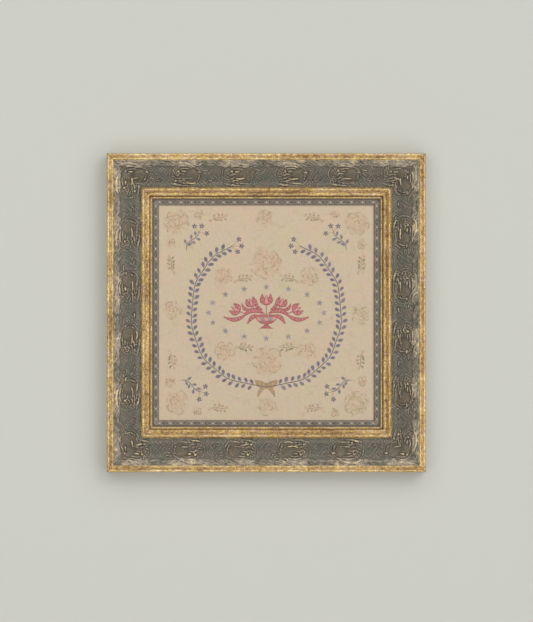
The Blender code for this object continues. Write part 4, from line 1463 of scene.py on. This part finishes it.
def sprig_stitches(sprig, colours, seed):
    """A sprig and its mirror image: a bent stem with small leaves and a head of three flowers."""
    stem = placed(curve_points((-11.0, -3.5, -4.0, 5.0, 4.0, -5.0, 12.0, 1.0), 40), sprig)
    runs = [stem_stitches(stem, colours.vine, seed, 0.85)]
    runs += vine_leaves(stem, partial(blue_mix, colours), seed + 1, 5.6, 2.9, 6.9, 2.4)
    heads = placed(((19.0, 4.0), (17.5, -6.0), (12.6, 9.4)), sprig)
    runs += flower_head(stem[-1], heads, colours, seed + 5)
    return both_sides(runs)


def faded_sprig_stitches(sprig, colours, seed):
    """A small faded spray and its mirror image: a stem, brown leaves and three buds."""
    stem = placed(curve_points((-8.0, -2.0, -3.0, 2.5, 3.0, -2.5, 8.0, 1.0), 30), sprig)
    runs = [stem_stitches(stem, colours.faded_edge, seed, 0.5)]
    ghost = (np.array(colours.faded_edge) + np.array(colours.faded_green)) / 2
    runs += vine_leaves(stem, partial(shaded, ghost), seed + 1, 4.2, 2.2, 4.0, 1.5)
    buds = placed(((9.5, 1.5), (-9.5, -2.5), (0.5, 4.2)), sprig)
    runs.append(flowerets(buds, np.arange(3) * 1.1, 2.2, 5, colours.faded, seed + 6))
    return both_sides(runs)


def urn_body(colours):
    """The vase itself, worked rib by rib: a cup that narrows as 1 - 0.62 s^2.4 down to a foot that
    flares again, with a lip on top and a band of two paler threads."""
    rows = int((URN_TOP - URN_LOW) / ROW_PITCH)
    share = np.linspace(0, 1, rows)
    level = URN_TOP + (URN_LOW - URN_TOP) * share
    cup = np.where(share < URN_WAIST, 1 - 0.62 * (share / URN_WAIST) ** 2.4, 0.0)
    foot = np.where(share >= URN_WAIST, 0.14 + 0.40 * unit((share - 0.72) / 0.28) ** 1.6, 0.0)
    half = URN_WIDE / 2 * np.maximum(np.maximum(cup, foot), 1.10 * (share < 0.10))
    banded = (share > 0.20) & (share < 0.42)
    runs = []
    for rib in range(URN_RIBS):
        left = -half + 2 * half * rib / URN_RIBS
        right = -half + 2 * half * (rib + 1) / URN_RIBS
        start = np.stack((left + 0.08, level + 0.15), axis=1)
        end = np.stack((right - 0.08, level - 0.15), axis=1)
        tint = shaded(colours.red, rows, 480 + rib)
        band = colours.grey_blue if rib % 2 else colours.pink
        tint[banded] = shaded(band, int(banded.sum()), 490 + rib)
        wide = right - left > 0.5
        runs.append((start[wide], end[wide], np.full(int(wide.sum()), 1.0), tint[wide]))
    edge = np.stack((half + 0.3, level), axis=1)
    rim = stem_stitches(edge, colours.red_dark, 498, 0.6)
    return runs + both_sides([rim])


def urn_stitches(colours):
    """The red vase of tulips, with its stems, leaves and flowers on both sides."""
    runs = urn_body(colours)
    for index, stem in enumerate(URN_STEMS):
        made = stem_stitches(curve_points(stem[1:9], 40), colours.red_dark, 460 + index, 0.8)
        runs += both_sides([made]) if stem.x3 else [made]
    for index, petal in enumerate(URN_PETALS):
        runs += petal_stitches(petal, colours, colours.red_dark, 400 + 3 * index)
    return runs


def wreath_stitches(colours):
    """Both halves of the wreath: vines, paired leaves, the flowers at their ends and the bow."""
    left = wreath_half()
    vine = stem_stitches(left, colours.vine, 100, 1.0)
    blues = partial(blue_mix, colours)
    sizes = (LEAF_LONG, LEAF_WIDE, LEAF_PITCH, WREATH_FIRST_LEAF, WREATH_LAST_LEAF)
    leaves = vine_leaves(left, blues, 110, *sizes)
    leaves += [mirrored(run) for run in vine_leaves(left, blues, 130, *sizes)]
    end = left[-1]
    heads = end + np.array(((8.0, 8.0), (11.0, 0.5), (6.5, -6.0)))
    flowers = both_sides(flower_head(end, heads, colours, 150))
    bow = []
    for index, petal in enumerate(BOW_PETALS):
        bow += petal_stitches(petal, colours, colours.faded_edge, 170 + 3 * index)
    return both_sides([vine]), leaves, flowers, bow


class NEEDLEWORK_OT_cloth(bpy.types.Operator):
    """Build the linen and everything that is stitched on it"""

    bl_idname = "needlework.cloth"
    bl_label = "Linen and stitches"

    def execute(self, context):
        colours, sizes = context.scene.needlework_colours, context.scene.needlework_sizes
        linen = linen_sheet(linen_material(colours, sizes.weave_pitch))
        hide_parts("needlework")
        thread = thread_material()
        width = sizes.thread_width / MM
        vines, leaves, flowers, bow = wreath_stitches(colours)
        for index, sprig in enumerate(BLUE_SPRIGS):
            leaves += sprig_stitches(sprig, colours, 200 + 20 * index)
        angle = np.arange(STAR_COUNT) * 2 * math.pi / STAR_COUNT
        ring = np.stack((STAR_RING[0] * np.sin(angle), STAR_RING[1] * np.cos(angle)), axis=1)
        stars = star_stitches(ring, STAR_RADIUS, colours.grey_blue, 300)
        blooms, sprays = [], bow
        for index, bloom in enumerate(FADED_BLOOMS):
            blooms += faded_bloom(bloom, colours, 600 + 200 * index)
        for index, sprig in enumerate(FADED_SPRIGS):
            sprays += faded_sprig_stitches(sprig, colours, 6000 + 9 * index)
        layers = {
            "vine_stitches": vines,
            "leaf_stitches": leaves,
            "floweret_stitches": flowers,
            "star_stitches": [stars],
            "tulip_vase_stitches": urn_stitches(colours),
            "faded_bloom_stitches": blooms,
            "faded_spray_stitches": sprays,
        }
        stitched = [stitch_piece(name, runs, thread, width) for name, runs in layers.items()]
        return {"FINISHED"}


class NEEDLEWORK_OT_back(bpy.types.Operator):
    """Finish the board, the points and the hanger"""

    bl_idname = "needlework.back"
    bl_label = "Back and hanger"

    def execute(self, context):
        board, steel = board_material(context.scene.needlework_colours), steel_material()
        for name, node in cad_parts.items():
            if node.hide_render:
                continue
            node.data.materials.clear()
            node.data.materials.append(board if name == "backing_board" else steel)
        return {"FINISHED"}


def stage_plane(name, corners, material):
    """One flat quad that isn't part of the object."""
    mesh = bpy.data.meshes.new(name)
    mesh.from_pydata(corners, [], [(0, 1, 2, 3)])
    mesh.materials.append(material)
    plane = bpy.data.objects.new(name, mesh)
    bpy.context.scene.collection.objects.link(plane)
    return plane


def wall_material(colour, glow):
    """Matt paint seen from the front, part of it glowing so that shadows stay light, and nothing
    at all from behind."""
    build = NodeBuilder("plain_wall")
    build.finish(toned(colour, 1 - glow), 0.95, specular=0.0)
    build.shader.inputs["Emission Color"].default_value = (*toned(colour, 0.94, 1.0, 1.14), 1.0)
    build.shader.inputs["Emission Strength"].default_value = glow
    clear = build.node("ShaderNodeBsdfTransparent")
    behind = build.node("ShaderNodeNewGeometry").outputs["Backfacing"]
    shaders = {0: behind, 1: build.shader.outputs[0], 2: clear.outputs[0]}
    both = build.node("ShaderNodeMixShader", shaders)
    build.put(build.tree.nodes["Material Output"].inputs["Surface"], both.outputs[0])
    return build.material


def sun(name, strength, spread_degrees, towards):
    """A distant soft lamp that shines along a direction."""
    lamp = bpy.data.lights.new(name, "SUN")
    lamp.energy = strength
    lamp.angle = math.radians(spread_degrees)
    holder = bpy.data.objects.new(name, lamp)
    bpy.context.scene.collection.objects.link(holder)
    holder.rotation_mode = "QUATERNION"
    holder.rotation_quaternion = Vector(towards).to_track_quat("-Z", "Y")


class NEEDLEWORK_OT_stage(bpy.types.Operator):
    """Add the backdrop, the floor, soft light and the camera"""

    bl_idname = "needlework.stage"
    bl_label = "Stage"

    def execute(self, context):
        scene = context.scene
        colours = scene.needlework_colours
        reach, floor_z = STAGE_REACH, CAD_BOX[0].z - FLOOR_DROP
        wall_y = CAD_BOX[1].y + 0.5 * MM
        upright = ((-reach, floor_z), (reach, floor_z), (reach, reach), (-reach, reach))
        level = ((-reach, -reach), (reach, -reach), (reach, reach), (-reach, reach))
        paint = wall_material(colours.wall, WALL_GLOW)
        wall = stage_plane("backdrop", [(x, wall_y, z) for x, z in upright], paint)
        for key in ("visible_shadow", "visible_diffuse", "visible_glossy", "visible_transmission"):
            setattr(wall, key, False)
        stone = NodeBuilder("pale_floor").finish(from_srgb(212, 210, 204), 0.9, specular=0.1)
        stage_plane("floor", [(x, y, floor_z) for x, y in level], stone)
        world = bpy.data.worlds.new("soft_room")
        world.use_nodes = True
        backdrop = world.node_tree.nodes["Background"]
        backdrop.inputs["Color"].default_value = (0.97, 0.99, 1.05, 1.0)
        backdrop.inputs["Strength"].default_value = ROOM_LIGHT
        scene.world = world
        for lamp in SUNS:
            sun(*lamp)
        scale = 2 * HALF / FRAME_WIDE_PX
        distance = PICTURE_HIGH * scale * LENS / FILM
        camera = bpy.data.objects.new("camera", bpy.data.cameras.new("camera"))
        scene.collection.objects.link(camera)
        camera.data.lens, camera.data.sensor_width = LENS, FILM
        camera.location = (
            (PICTURE_WIDE / 2 - FRAME_CENTRE_PX[0]) * scale,
            CAD_BOX[0].y - distance,
            CENTRE_Z + (FRAME_CENTRE_PX[1] - PICTURE_HIGH / 2) * scale,
        )
        camera.rotation_euler = (math.pi / 2, 0.0, 0.0)
        camera.data.clip_end = 100.0
        scene.camera = camera
        scene.view_settings.view_transform = "Standard"
        return {"FINISHED"}


BUILD_STEPS = (
    NEEDLEWORK_OT_rails,
    NEEDLEWORK_OT_ornament,
    NEEDLEWORK_OT_liner,
    NEEDLEWORK_OT_cloth,
    NEEDLEWORK_OT_back,
    NEEDLEWORK_OT_stage,
)


class NEEDLEWORK_PT_sidebar(bpy.types.Panel):
    """Lists the build steps, the sizes and the colours"""

    bl_idname = "NEEDLEWORK_PT_sidebar"
    bl_label = "Framed needlework"
    bl_space_type = "VIEW_3D"
    bl_region_type = "UI"
    bl_category = "Needlework"

    def draw(self, context):
        for step in BUILD_STEPS:
            self.layout.operator(step.bl_idname)
        for group in (context.scene.needlework_sizes, context.scene.needlework_colours):
            box = self.layout.box()
            for key in group.bl_rna.properties.keys():
                if key not in ("rna_type", "name"):
                    box.prop(group, key)


CLASSES = (NeedleworkSizes, NeedleworkColours, *BUILD_STEPS, NEEDLEWORK_PT_sidebar)


def register():
    """Add the classes and the scene's two groups of settings."""
    for item in CLASSES:
        bpy.utils.register_class(item)
    bpy.types.Scene.needlework_sizes = bpy.props.PointerProperty(type=NeedleworkSizes)
    bpy.types.Scene.needlework_colours = bpy.props.PointerProperty(type=NeedleworkColours)


def unregister():
    """Take them away again."""
    del bpy.types.Scene.needlework_colours
    del bpy.types.Scene.needlework_sizes
    for item in reversed(CLASSES):
        bpy.utils.unregister_class(item)


def main():
    """Build everything in order."""
    register()
    for step in BUILD_STEPS:
        group, name = step.bl_idname.split(".")
        getattr(getattr(bpy.ops, group), name)()


if __name__ == "__main__":
    main()
